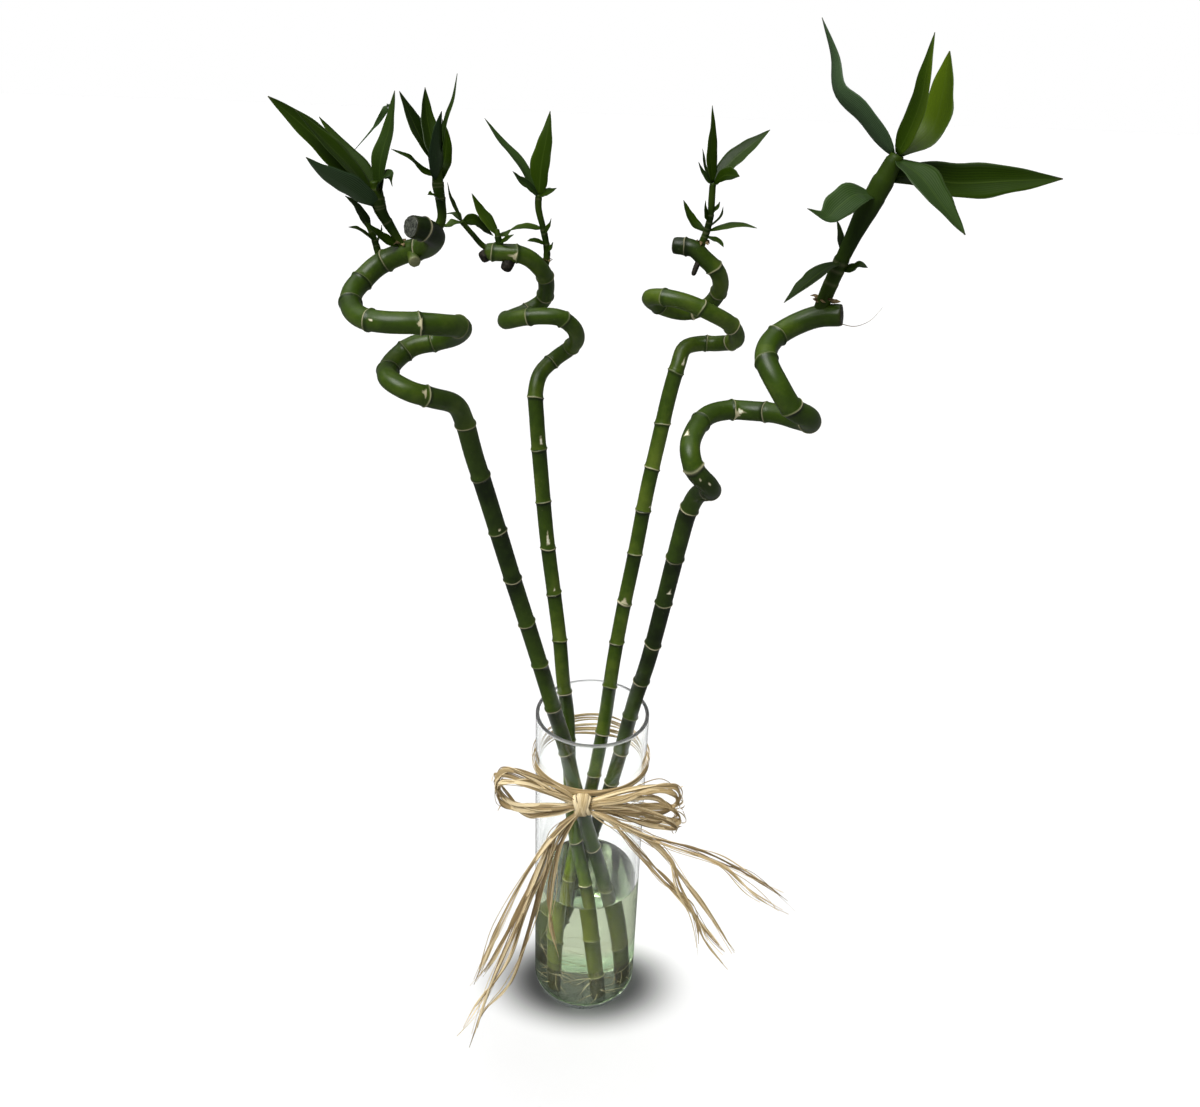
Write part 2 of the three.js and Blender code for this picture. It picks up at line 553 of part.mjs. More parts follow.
const bundle = (routes, cross, steps, gather, extra = 0) => joined([
  lump(gather, [6 + extra, 2.6 + extra, 4 + extra]),
  ...routes.map((route) => strip(route, cross, steps, extra)),
]);

const LEFT_GATHER = [-14, -48.5, 224];
const RIGHT_GATHER = [7, -48.5, 223];
const LEFT_TAIL_GATHER = [-13, -51, 211];
const RIGHT_TAIL_GATHER = [9, -51, 213];
const LOOP_CROSS = [0, 0.75, 0.65];
const TAIL_CROSS = [0.75, -0.3, 0.6];
const LOOP_STEPS = 10;
const TAIL_STEPS = 6;
const BAND_STEPS = ROUND_SIDES;

// Two strips wound round the glass, one partly over the other.
function raffiaBand() {
  const strands = [0, 1].map((k) => {
    const inner = VASE.radius + GAP + 0.35 * k;
    const rings = Array.from({ length: BAND_STEPS + 1 }, (_, i) => {
      const angle = (2 * Math.PI * (i % BAND_STEPS)) / BAND_STEPS;
      const middle = RAFFIA.height + 4.4 * (k - 0.5) + 0.8 * Math.sin(2 * angle + 2 * k);
      return [[0, -2.8], [0.9, -2.8], [0.9, 2.8], [0, 2.8]].map(([out, rise]) => new THREE.Vector3(
        (inner + out) * Math.cos(angle), (inner + out) * Math.sin(angle), middle + rise));
    });
    const sides = 4;
    const faces = [];
    for (let row = 0; row < BAND_STEPS; row++) {
      for (let side = 0; side < sides; side++) {
        const a = row * sides + side;
        const b = row * sides + ((side + 1) % sides);
        faces.push([a, b, b + sides], [a, b + sides, a + sides]);
      }
    }
    return solidOf(geometryOf(rings.flat(), faces));
  });
  return joined(strands);
}

function raffia() {
  const glass = new THREE.CylinderGeometry(42.3, 42.3, 60, ROUND_SIDES);
  const backing = solidOf(glass.rotateX(Math.PI / 2).translate(0, 0, RAFFIA.height));
  const knot = lump(RAFFIA.knot, [7, 6, 9], 3).subtract(backing);
  const knotRoom = lump(RAFFIA.knot, [7 + GAP, 6 + GAP, 9 + GAP], 3);
  const loops = [
    [LOOP_LEFT, LEFT_GATHER],
    [LOOP_RIGHT, RIGHT_GATHER],
  ];
  const loopRooms = loops.map(([routes, gather]) => bundle(routes, LOOP_CROSS, LOOP_STEPS, gather, GAP));
  const [left, right] = loops.map(([routes, gather]) =>
    clearOf(bundle(routes, LOOP_CROSS, LOOP_STEPS, gather), [knotRoom, backing]));
  const [leftTails, rightTails] = [
    [TAILS_LEFT, LEFT_TAIL_GATHER],
    [TAILS_RIGHT, RIGHT_TAIL_GATHER],
  ].map(([routes, gather]) =>
    clearOf(bundle(routes, TAIL_CROSS, TAIL_STEPS, gather), [knotRoom, backing, ...loopRooms]));
  return {
    raffia_band: raffiaBand(),
    raffia_knot: knot,
    raffia_loop_left: left,
    raffia_loop_right: right,
    raffia_tails_left: leftTails,
    raffia_tails_right: rightTails,
  };
}

// ---- Materials ----
const FINISH = {
  glass: { color: 0xe4efe9, roughness: 0.05, metalness: 0 },
  water: { color: 0xa9c9b2, roughness: 0.05, metalness: 0 },
  cane: { color: 0x3f6a1f, roughness: 0.4, metalness: 0 },
  leaf: { color: 0x2f5a1e, roughness: 0.42, metalness: 0 },
  raffia: { color: 0xc9ac72, roughness: 0.8, metalness: 0 },
};

// ---- Assembly ----
const plant = new THREE.Group();

function place(name, solid, finish) {
  const { vertProperties, triVerts } = solid.getMesh();
  const geometry = new THREE.BufferGeometry();
  geometry.setAttribute('position', new THREE.BufferAttribute(vertProperties, 3));
  geometry.setIndex(Array.from(triVerts));
  const mesh = new THREE.Mesh(geometry, new THREE.MeshStandardMaterial(FINISH[finish]));
  mesh.name = name;
  plant.add(mesh);
}

place('vase', vase(), 'glass');
place('water', water(), 'water');
for (const cane of CANES) place(cane.name, caneSolid(cane), 'cane');

const placed = [];
for (const shoot of SHOOTS) {
  const cane = CANES.find(({ name }) => name === shoot.cane);
  const solid = clearOf(shootSolid(shoot), [caneTube(cane, GAP), ...stubs(cane, GAP), ...placed]);
  place(shoot.name, solid, 'leaf');
  placed.push(shootSolid(shoot, GAP));
}
for (const [name, solid] of Object.entries(raffia())) place(name, solid, 'raffia');

export default plant;
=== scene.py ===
"""Lucky bamboo: four curled canes in a glass cylinder vase of water, tied round with a raffia bow."""
import math
import bpy
import numpy as np
from mathutils import Matrix, Vector


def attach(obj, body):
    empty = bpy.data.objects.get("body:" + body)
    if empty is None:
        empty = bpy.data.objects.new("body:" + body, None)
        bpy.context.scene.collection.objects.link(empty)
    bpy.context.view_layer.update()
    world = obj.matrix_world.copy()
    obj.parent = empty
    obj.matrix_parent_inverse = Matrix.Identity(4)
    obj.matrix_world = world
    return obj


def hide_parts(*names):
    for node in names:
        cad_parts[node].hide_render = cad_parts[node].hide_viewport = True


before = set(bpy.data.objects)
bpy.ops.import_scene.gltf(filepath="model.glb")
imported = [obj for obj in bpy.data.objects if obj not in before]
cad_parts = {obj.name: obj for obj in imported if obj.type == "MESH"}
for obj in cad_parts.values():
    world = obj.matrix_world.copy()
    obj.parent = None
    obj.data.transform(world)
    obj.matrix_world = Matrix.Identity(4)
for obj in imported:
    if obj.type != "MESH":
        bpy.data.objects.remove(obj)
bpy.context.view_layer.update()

# ---- The viewer -----------------------------------------------------------------------------
# The plant is seen from in front and above, level with its leaves, through a fairly wide lens.
# The view leans a little, so the vase's upright runs off plumb.
EYE = Vector((0.0, -0.580, 0.682))
LOOK_DOWN, LOOK_RIGHT, LEAN = math.radians(26.77), math.radians(0.14), math.radians(1.98)

ahead = Vector((math.sin(LOOK_RIGHT) * math.cos(LOOK_DOWN),
                math.cos(LOOK_RIGHT) * math.cos(LOOK_DOWN),
                -math.sin(LOOK_DOWN)))
level_right = ahead.cross(Vector((0, 0, 1))).normalized()
level_up = level_right.cross(ahead)
view_right = level_right * math.cos(LEAN) + level_up * math.sin(LEAN)
view_up = level_up * math.cos(LEAN) - level_right * math.sin(LEAN)

lens = bpy.data.cameras.new("camera")
lens.lens, lens.sensor_width, lens.sensor_fit = 30.0, 36.0, "HORIZONTAL"
lens.clip_start, lens.clip_end = 0.05, 50.0
camera = bpy.data.objects.new("camera", lens)
bpy.context.scene.collection.objects.link(camera)
camera.matrix_world = Matrix((
    (view_right.x, view_up.x, -ahead.x, EYE.x),
    (view_right.y, view_up.y, -ahead.y, EYE.y),
    (view_right.z, view_up.z, -ahead.z, EYE.z),
    (0, 0, 0, 1)))
bpy.context.scene.camera = camera
bpy.context.scene.view_settings.view_transform = "Standard"


# ---- The studio -----------------------------------------------------------------------------
# A white sheet under the vase, with a soft shadow painted into its colour round the vase's foot, and wide
# soft light from above.
# The room is dimmer towards the viewer, which gives the skins deep colour and the glass dark edges.
def new_piece(name, vertices, faces):
    """Makes an object of a vertex and a face list, in metres."""
    mesh = bpy.data.meshes.new(name)
    mesh.from_pydata([tuple(map(float, v)) for v in vertices], [], [tuple(map(int, f)) for f in faces])
    mesh.validate()
    mesh.update()
    mesh.polygons.foreach_set("use_smooth", [True] * len(mesh.polygons))
    piece = bpy.data.objects.new(name, mesh)
    bpy.context.scene.collection.objects.link(piece)
    return piece


def new_finish(name, **settings):
    """Makes a material with one Principled shader, and sets that shader's sockets by name."""
    finish = bpy.data.materials.new(name)
    finish.use_nodes = True
    shader = finish.node_tree.nodes["Principled BSDF"]
    for socket, value in settings.items():
        shader.inputs[socket.replace("_", " ")].default_value = value
    return finish, finish.node_tree, shader


def soft_light(name, place, spread, strength):
    """Lights everything evenly from one side, as softly as its spread in degrees is wide."""
    light = bpy.data.lights.new(name, "SUN")
    light.angle, light.energy = math.radians(spread), strength
    holder = bpy.data.objects.new(name, light)
    bpy.context.scene.collection.objects.link(holder)
    holder.rotation_euler = (-Vector(place)).to_track_quat("-Z", "Y").to_euler()
    return holder


def gather(name, state, *pieces, receivers=(), blockers=()):
    """Makes lights fall on, or be held up by, only some pieces or all but some pieces."""
    group = bpy.data.collections.new(name)
    for piece in pieces:
        group.objects.link(piece)
    for member in group.collection_objects:
        member.light_linking.link_state = state
    for light in receivers:
        light.light_linking.receiver_collection = group
    for light in blockers:
        light.light_linking.blocker_collection = group


def link(tree, start, end):
    tree.links.new(start, end)


def sums(tree, operation, *values, clamp=False):
    """Does a sum with sockets or plain numbers."""
    node = tree.nodes.new("ShaderNodeMath")
    node.operation, node.use_clamp = operation, clamp
    for socket, value in zip(node.inputs, values):
        if isinstance(value, bpy.types.NodeSocket):
            link(tree, value, socket)
        else:
            socket.default_value = value
    return node.outputs[0]


def fade(tree, value, low, high, start, end, smooth=False):
    """Goes from start to end while value goes from low to high, and holds still beyond them."""
    node = tree.nodes.new("ShaderNodeMapRange")
    node.interpolation_type = "SMOOTHSTEP" if smooth else "LINEAR"
    for socket, number in zip(("From Min", "From Max", "To Min", "To Max"), (low, high, start, end)):
        node.inputs[socket].default_value = number
    link(tree, value, node.inputs["Value"])
    return node.outputs["Result"]


def places(tree, kind):
    """The place of each point, whole and as its x, y and z."""
    whole = tree.nodes.new("ShaderNodeTexCoord").outputs[kind]
    parts = tree.nodes.new("ShaderNodeSeparateXYZ")
    link(tree, whole, parts.inputs["Vector"])
    return whole, *parts.outputs


def first_look(tree, path):
    """1 for a ray that has only passed clear things on its way, 0 for others."""
    return sums(tree, "SUBTRACT", path["Is Transmission Ray"], path["Diffuse Depth"], clamp=True)


def to_the_eye(tree, path, others, straight):
    """Shows one value to the viewer and another to everything else."""
    node = tree.nodes.new("ShaderNodeMix")
    link(tree, path["Is Camera Ray"], node.inputs["Factor"])
    link(tree, others, node.inputs["A"])
    if isinstance(straight, bpy.types.NodeSocket):
        link(tree, straight, node.inputs["B"])
    else:
        node.inputs["B"].default_value = straight
    return node.outputs["Result"]


light_above = soft_light("light_above", (-0.3, -0.1, 1.0), 90, 1.5)
light_front = soft_light("light_front", (-0.45, -0.65, 1.0), 40, 2.3)
light_on_sheet = soft_light("light_on_sheet", (-0.1, -0.1, 1.0), 110, 2.2)

FLOOR_REACH = 12.0
floor = new_piece("floor", [(-FLOOR_REACH, -FLOOR_REACH, 0), (FLOOR_REACH, -FLOOR_REACH, 0),
                            (FLOOR_REACH, FLOOR_REACH, 0), (-FLOOR_REACH, FLOOR_REACH, 0)],
                  [(0, 1, 2, 3)])
white_sheet, tree, shader = new_finish("white_sheet", Roughness=0.9, Specular_IOR_Level=0.0)
path = tree.nodes.new("ShaderNodeLightPath").outputs
place, x, y, _ = places(tree, "Object")
# Bounced light and reflections see the sheet darker, and rays through the glass see it darken towards the
# viewer: painted shade for a dimmer room.
far_and_wide = fade(tree, sums(tree, "ADD", sums(tree, "ABSOLUTE", x), y), -0.12, -0.05, 0.45, 1.15)
through_glass = sums(tree, "MULTIPLY", first_look(tree, path), far_and_wide)
mirrored = sums(tree, "MULTIPLY_ADD", path["Is Glossy Ray"], -0.33, 0.45)
bounced = sums(tree, "MAXIMUM", through_glass, mirrored)
# A soft shadow is painted into the sheet's colour round the vase's foot: an oval a little in front of its
# axis, which the eye sees whole and other rays see in part.
squeezed = tree.nodes.new("ShaderNodeVectorMath")
squeezed.operation, squeezed.inputs[1].default_value = "MULTIPLY", (1.0, 1.62, 1.0)
link(tree, place, squeezed.inputs[0])
from_foot = tree.nodes.new("ShaderNodeVectorMath")
from_foot.operation, from_foot.inputs[1].default_value = "DISTANCE", (-0.001, -0.008, 0)
link(tree, squeezed.outputs["Vector"], from_foot.inputs[0])
painted_foot_shadow = fade(tree, from_foot.outputs["Value"], 0.0375, 0.0935, 0.06, 0.80, smooth=True)
shaded = sums(tree, "MULTIPLY", bounced, sums(tree, "MAXIMUM", painted_foot_shadow, 0.30))
link(tree, to_the_eye(tree, path, shaded, painted_foot_shadow), shader.inputs["Base Color"])
floor.data.materials.append(white_sheet)
gather("sheet_alone", "INCLUDE", floor, receivers=[light_on_sheet])
gather("all_but_the_sheet", "EXCLUDE", floor, receivers=[light_front])

room = bpy.data.worlds.new("room")
bpy.context.scene.world = room
room.use_nodes = True
tree = room.node_tree
room_light = tree.nodes["Background"]
room_light.inputs["Color"].default_value = (1, 1, 1, 1)
path = tree.nodes.new("ShaderNodeLightPath").outputs
_, _, y, _ = places(tree, "Generated")
less_in_gloss = sums(tree, "MULTIPLY_ADD", path["Is Glossy Ray"], -0.65, 1.0)
brightness = sums(tree, "MULTIPLY", fade(tree, y, -0.8, 0.6, 0.08, 0.32), less_in_gloss)
brightness = sums(tree, "MULTIPLY_ADD", first_look(tree, path), 0.62, brightness)
link(tree, to_the_eye(tree, path, brightness, 1.0), room_light.inputs["Strength"])


# ---- The vase -------------------------------------------------------------------------------
# A cylinder of clear glass, blown in a mould: a thick base with a rounded heel, an even wall and a
# rounded lip that is a little dull. The thick glass of the foot is rippled and faintly green.
VASE_RADIUS, VASE_HEIGHT, VASE_WALL, VASE_BASE = 0.040, 0.265, 0.0025, 0.009
VASE_HEEL, VASE_INNER_HEEL = 0.013, 0.004
VASE_SIDES = 144
BORE = VASE_RADIUS - VASE_WALL
LIP = VASE_WALL / 2
CLEAR, FOOT_GREEN = (0.985, 0.998, 0.99), (0.68, 0.85, 0.74)


def bend(centre, height, radius, start, end, steps):
    """Points of an arc in a turned profile, between two angles in degrees."""
    angles = np.radians(np.linspace(start, end, steps + 1))
    return [(centre + radius * math.cos(a), height + radius * math.sin(a)) for a in angles]


def noise(tree, scale, detail=3.0, roughness=0.55):
    """Noise in the object's own space."""
    grain = tree.nodes.new("ShaderNodeTexNoise")
    for socket, number in (("Scale", scale), ("Detail", detail), ("Roughness", roughness)):
        grain.inputs[socket].default_value = number
    link(tree, tree.nodes.new("ShaderNodeTexCoord").outputs["Object"], grain.inputs["Vector"])
    return grain.outputs["Fac"]


def blend(tree, factor, below, above):
    """Mixes two colours: each is a socket or a plain colour."""
    node = tree.nodes.new("ShaderNodeMix")
    node.data_type = "RGBA"
    for socket, value in ((node.inputs[0], factor), (node.inputs[6], below), (node.inputs[7], above)):
        if isinstance(value, bpy.types.NodeSocket):
            link(tree, value, socket)
        elif np.ndim(value):
            socket.default_value = (*value, 1)
        else:
            socket.default_value = value
    return node.outputs[2]


def bumps(tree, shader, height, distance, strength=1.0):
    """Raises the surface by a height, with a strength that is a socket or a plain number."""
    node = tree.nodes.new("ShaderNodeBump")
    node.inputs["Distance"].default_value = distance
    if isinstance(strength, bpy.types.NodeSocket):
        link(tree, strength, node.inputs["Strength"])
    else:
        node.inputs["Strength"].default_value = strength
    link(tree, height, node.inputs["Height"])
    link(tree, node.outputs["Normal"], shader.inputs["Normal"])


def turned(name, profile):
    """Turns a profile of (radius, height) that starts and ends on the axis. A long straight run
    gets a row close to each of its ends, which keeps its smooth shading straight."""
    inner = profile[1:2]
    for before, after in zip(profile[1:-2], profile[2:-1]):
        run = math.dist(before, after)
        if run > 0.003:
            for share in (0.0004 / run, 1 - 0.0004 / run):
                inner.append(tuple(b + (a - b) * share for b, a in zip(before, after)))
        inner.append(after)
    sides = VASE_SIDES
    angles = np.linspace(0, 2 * np.pi, sides, endpoint=False)
    vertices = [(r * math.cos(a), r * math.sin(a), h) for r, h in inner for a in angles]
    low, high = len(vertices), len(vertices) + 1
    vertices += [(0, 0, profile[0][1]), (0, 0, profile[-1][1])]
    faces = []
    for row in range(len(inner) - 1):
        for side in range(sides):
            a, b = row * sides + side, row * sides + (side + 1) % sides
            faces.append((a, b, b + sides, a + sides))
    top = (len(inner) - 1) * sides
    for side in range(sides):
        after = (side + 1) % sides
        faces += [(after, side, low), (top + side, top + after, high)]
    return new_piece(name, vertices, faces)


vase = turned("vase_glass", [
    (0, 0), (0.012, 0),
    *bend(VASE_RADIUS - VASE_HEEL, VASE_HEEL, VASE_HEEL, -90, 0, 16),
    (VASE_RADIUS, 0.08), (VASE_RADIUS, 0.16), (VASE_RADIUS, 0.22),
    *bend(VASE_RADIUS - LIP, VASE_HEIGHT - LIP, LIP, 0, 180, 12),
    (BORE, 0.22), (BORE, 0.16), (BORE, 0.08),
    *bend(BORE - VASE_INNER_HEEL, VASE_BASE + VASE_INNER_HEEL, VASE_INNER_HEEL, 0, -90, 12),
    (0.012, VASE_BASE), (0, VASE_BASE)])
clear_glass, tree, shader = new_finish("clear_glass", Roughness=0.0, IOR=1.5, Transmission_Weight=1.0)
_, _, _, height = places(tree, "Object")
link(tree, fade(tree, height, VASE_HEIGHT - LIP - 0.0010, VASE_HEIGHT - 0.0004, 0, 0.8),
     shader.inputs["Roughness"])
in_foot = fade(tree, height, 0.018, 0.008, 0, 1)
link(tree, blend(tree, in_foot, CLEAR, FOOT_GREEN), shader.inputs["Base Color"])
bumps(tree, shader, noise(tree, 170, 1, 0.5), 0.0006, in_foot)
vase.data.materials.append(clear_glass)
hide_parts("vase")
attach(vase, "root")


# ---- The canes ------------------------------------------------------------------------------
# Stems of a plant grown towards a turned light, so that their tops curl. Each has a smooth green
# skin, a pale corky ring at every old leaf's scar, a cut top and a foot that roots in the water.
RING_SWELL = 0.0005
CANE_SIDES = 48

# Radii in metres. Routes in mm from the foot up. Rings, scars and nicks lie at distances in mm along
# the route, and a nick is its distance, its place round the cane in degrees, its length and width.
CANES = {
    "cane_1": {
        "foot": 0.0053, "top": 0.0055,
        "route": [
            (23, -5, 10.2), (20, -8, 60), (13, -10, 113), (5, -10, 145), (-2, -9, 170), (-12, -7, 207),
            (-18, -8, 238), (-27, -12, 274), (-35, -17, 309), (-43, -23, 344), (-53, -31, 387),
            (-59, -36, 414), (-67, -44, 451), (-72, -50, 474), (-76, -58, 498), (-79, -66, 509),
            (-89, -82, 518), (-99, -88, 523), (-109, -84, 527), (-113, -71, 528), (-111, -57, 531),
            (-103, -50, 536), (-91, -49, 539), (-80, -56, 544), (-74, -70, 552), (-81, -86, 557),
            (-94, -92, 559), (-108, -92, 559), (-120, -86, 559), (-129, -73, 561), (-131, -60, 566),
            (-127, -52, 571), (-119, -48, 578), (-102, -50, 586), (-93, -55, 589), (-86, -70, 597),
            (-89, -82, 602), (-94, -88, 604)],
        "rings": [16, 42, 95, 141, 186, 230, 272, 312, 349, 386, 423, 464, 501, 543, 578, 599, 616,
                  654, 679, 705, 730, 749, 766, 786, 824],
        "scars": [],
        "nicks": [(546, 347, 0.6, 2.0), (679, 219, 0.8, 2.0), (427, 296, 0.9, 0.6), (700, 225, 0.5, 0.4)],
        "yellow": 0.38, "shade": 0.17, "dark_end": 2.2},
    "cane_2": {
        "foot": 0.0049, "top": 0.0051,
        "route": [
            (10, -22, 10.2), (5, -18, 60), (-1, -12, 113), (-8, -7, 145), (-13, 0, 175), (-16, 10, 210),
            (-18, 19, 246), (-22, 23, 275), (-25, 27, 306), (-29, 31, 336), (-35, 36, 380),
            (-40, 42, 429), (-43, 46, 463), (-44, 50, 482), (-41, 56, 492), (-32, 62, 500),
            (-23, 58, 508), (-18, 47, 517), (-20, 34, 528), (-28, 28, 535), (-38, 27, 536),
            (-50, 30, 534), (-62, 40, 529), (-60, 53, 528), (-50, 60, 531), (-41, 61, 537),
            (-38, 54, 545), (-38, 44, 556), (-41, 36, 563), (-47, 32, 569), (-55, 30, 572),
            (-65, 31, 572), (-72, 33, 572)],
        "rings": [22, 60, 105, 144, 183, 223, 262, 303, 339, 373, 406, 443, 477, 504, 524, 563, 584,
                  612, 632, 650, 669, 697, 711],
        "scars": [],
        "nicks": [(449, 296, 2.6, 0.8), (380, 283, 3.4, 1.0), (698, 257, 1.0, 2.0), (343, 283, 0.8, 0.6)],
        "yellow": 0.50, "shade": 0.0, "dark_end": 0.0},
    "cane_3": {
        "foot": 0.0049, "top": 0.0051,
        "route": [
            (-19, -16, 10.2), (-17, -8, 60), (-13, 1, 113), (-8, 6, 145), (-1, 11, 175), (4, 15, 205),
            (9, 21, 241), (14, 28, 290), (19, 33, 328), (26, 39, 373), (32, 45, 416), (38, 50, 450),
            (44, 55, 483), (48, 58, 499), (52, 64, 509), (62, 70, 511), (74, 68, 512), (84, 55, 518),
            (78, 41, 531), (64, 33, 540), (49, 32, 546), (36, 35, 548), (27, 46, 545), (36, 61, 536),
            (52, 71, 531), (65, 69, 536), (71, 59, 548), (70, 50, 557), (66, 44, 564), (58, 42, 571),
            (52, 42, 576), (45, 44, 577), (40, 46, 577)],
        "rings": [17, 49, 96, 135, 169, 192, 227, 265, 300, 331, 368, 400, 430, 461, 496, 529, 548,
                  574, 601, 624, 655, 682, 709, 735, 757],
        "scars": [331, 682],
        "nicks": [(502, 300, 1.4, 0.9), (333, 262, 1.4, 2.2), (404, 320, 0.8, 0.5)],
        "yellow": 0.58, "shade": 0.0, "dark_end": 1.6},
    "cane_4": {
        "foot": 0.0049, "top": 0.0057,
        "route": [
            (-18, 18, 10.2), (-12, 18, 60), (-4, 15, 113), (5, 12, 150), (12, 6, 180), (20, 2, 222),
            (29, -6, 279), (36, -14, 317), (43, -26, 370), (49, -38, 419), (52, -46, 442),
            (56, -53, 456), (61, -66, 464), (59, -78, 472), (50, -85, 484), (47, -82, 493),
            (49, -70, 498), (58, -52, 503), (70, -44, 504), (83, -44, 504), (96, -50, 505),
            (106, -62, 506), (109, -77, 510), (105, -90, 517), (95, -97, 524), (87, -98, 535),
            (81, -91, 545), (82, -81, 549), (87, -72, 553), (97, -66, 558), (109, -66, 563),
            (120, -70, 565)],
        "rings": [19, 55, 93, 133, 171, 194, 226, 260, 295, 331, 368, 406, 447, 480, 510, 545, 570,
                  589, 628, 657, 685, 708],
        "scars": [510, 628],
        "nicks": [(571.5, 50, 1.3, 2.6), (574, 28, 1.6, 1.3), (526, 292, 1.5, 1.1), (506, 312, 2.2, 0.3),
                  (499, 336, 1.4, 0.3), (606, 321, 0.9, 3.2), (381, 283, 1.1, 1.1)],
        "yellow": 0.26, "shade": 0.20, "dark_end": 0.0},
}


def smooth_route(route, steps=48):
    """A centripetal Catmull-Rom curve through points in mm, as close points in metres."""
    knots = np.array(route, float) / 1000
    knots = np.vstack([2 * knots[0] - knots[1], knots, 2 * knots[-1] - knots[-2]])
    line = []
    for k in range(len(knots) - 3):
        four = knots[k:k + 4]
        gaps = [max(np.linalg.norm(four[i + 1] - four[i]) ** 0.5, 1e-4) for i in range(3)]
        t = np.cumsum([0, *gaps])
        at = np.linspace(t[1], t[2], steps, endpoint=k == len(knots) - 4)[:, None]
        first = [((t[i + 1] - at) * four[i] + (at - t[i]) * four[i + 1]) / (t[i + 1] - t[i])
                 for i in range(3)]
        second = [((t[i + 2] - at) * first[i] + (at - t[i]) * first[i + 1]) / (t[i + 2] - t[i])
                  for i in range(2)]
        line.append(((t[2] - at) * second[0] + (at - t[1]) * second[1]) / (t[2] - t[1]))
    return np.vstack(line)


class Growth:
    """A route with its length, and untwisted frames at any distances along it, in metres."""

    def __init__(self, route):
        self.line = smooth_route(route)
        steps = np.linalg.norm(np.diff(self.line, axis=0), axis=1)
        self.reach = np.concatenate([[0], np.cumsum(steps)])
        self.length = self.reach[-1]

    def at(self, distances):
        return np.stack([np.interp(distances, self.reach, self.line[:, i]) for i in range(3)], axis=-1)

    def along(self, distances):
        step = 0.0004
        ahead_of = self.at(np.clip(distances + step, 0, self.length))
        behind = self.at(np.clip(distances - step, 0, self.length))
        way = ahead_of - behind
        return way / np.linalg.norm(way, axis=-1, keepdims=True)

    def frames(self, distances):
        centres, ways = self.at(distances), self.along(distances)
        across = np.array((1.0, 0, 0))
        acrosses = []
        for way in ways:
            across = across - way * across.dot(way)
            across = across / np.linalg.norm(across)
            acrosses.append(across)
        acrosses = np.array(acrosses)
        return centres, ways, acrosses, np.cross(ways, acrosses)


def tube_rings(growth, distances, radii, sides):
    """Vertices of a round tube, with radii one per distance, or one per distance and side."""
    centres, _, acrosses, ups = growth.frames(distances)
    angles = np.linspace(0, 2 * np.pi, sides, endpoint=False)
    radii = np.broadcast_to(np.array(radii)[..., None] if np.ndim(radii) == 1 else radii,
                            (len(distances), sides))
    ring = (acrosses[:, None] * np.cos(angles)[None, :, None]
            + ups[:, None] * np.sin(angles)[None, :, None])
    return (centres[:, None] + ring * radii[..., None]).reshape(-1, 3)


def tube_faces(rows, sides, first=0):
    faces = []
    for row in range(rows - 1):
        for side in range(sides):
            a = first + row * sides + side
            b = first + row * sides + (side + 1) % sides
            faces.append((a, b, b + sides, a + sides))
    return faces


def end_faces(rows, sides, first=0):
    last = first + (rows - 1) * sides
    return [tuple(range(first + sides - 1, first - 1, -1)), tuple(range(last, last + sides))]


def mark(piece, name, values):
    """Writes one number for each vertex, which a finish reads by its name."""
    layer = piece.data.attributes.new(name, "FLOAT", "POINT")
    layer.data.foreach_set("value", np.asarray(values, np.float32).ravel())


def read_mark(tree, name):
    node = tree.nodes.new("ShaderNodeAttribute")
    node.attribute_name = name
    return node.outputs["Fac"]


def ramp(tree, factor, *stops):
    """A colour ramp of (position, colour) stops."""
    node = tree.nodes.new("ShaderNodeValToRGB")
    elements = node.color_ramp.elements
    while len(elements) < len(stops):
        elements.new(0.5)
    for element, (position, colour) in zip(elements, stops):
        element.position = position
        element.color = (*colour, 1) if len(colour) == 3 else colour
    link(tree, factor, node.inputs["Fac"])
    return node.outputs["Color"]


SKIN_DARK, SKIN_MID, SKIN_LIT = (0.009, 0.019, 0.002), (0.040, 0.078, 0.004), (0.15, 0.21, 0.020)
WET_SHADE, WET_LIT = (0.060, 0.078, 0.008), (0.20, 0.225, 0.045)
CORK, BARE_WOOD, OLD_FOOT = (0.58, 0.53, 0.33), (0.92, 0.92, 0.74), (0.030, 0.027, 0.008)

skin, tree, shader = new_finish("cane_skin", Specular_IOR_Level=0.38)
tone = read_mark(tree, "tone")
patches = noise(tree, 75, 5, roughness=0.65)
shade = sums(tree, "ADD", tone, sums(tree, "MULTIPLY", sums(tree, "SUBTRACT", patches, 0.5), 0.75),
             clamp=True)
green = ramp(tree, shade, (0.0, SKIN_DARK), (0.45, SKIN_MID), (1.0, SKIN_LIT))
flecks = ramp(tree, noise(tree, 520, 2), (0.70, (0, 0, 0)), (0.76, (1, 1, 1)))
green = blend(tree, sums(tree, "MULTIPLY", flecks, 0.22), green, (0.20, 0.24, 0.10))
green = blend(tree, read_mark(tree, "soaked"), green,
              ramp(tree, shade, (0.1, WET_SHADE), (0.8, WET_LIT)))
green = blend(tree, read_mark(tree, "old"), green, OLD_FOOT)
green = blend(tree, sums(tree, "ADD", read_mark(tree, "cork"), 0.0, clamp=True), green, CORK)
bare = sums(tree, "SUBTRACT", read_mark(tree, "cork"), 1.0, clamp=True)
link(tree, blend(tree, bare, green, BARE_WOOD), shader.inputs["Base Color"])
link(tree, sums(tree, "ADD", sums(tree, "MULTIPLY", read_mark(tree, "cork"), 0.35), 0.34, clamp=True),
     shader.inputs["Roughness"])
bumps(tree, shader, noise(tree, 700, 3), 0.00006, 0.5)

cut_end, tree, shader = new_finish("cane_cut_end", Roughness=0.75, Specular_IOR_Level=0.2)
fibre_ends = noise(tree, 900, 4)
link(tree, ramp(tree, fibre_ends, (0.35, (0.014, 0.016, 0.013)), (0.75, (0.13, 0.14, 0.11))),
     shader.inputs["Base Color"])
bumps(tree, shader, fibre_ends, 0.0003)

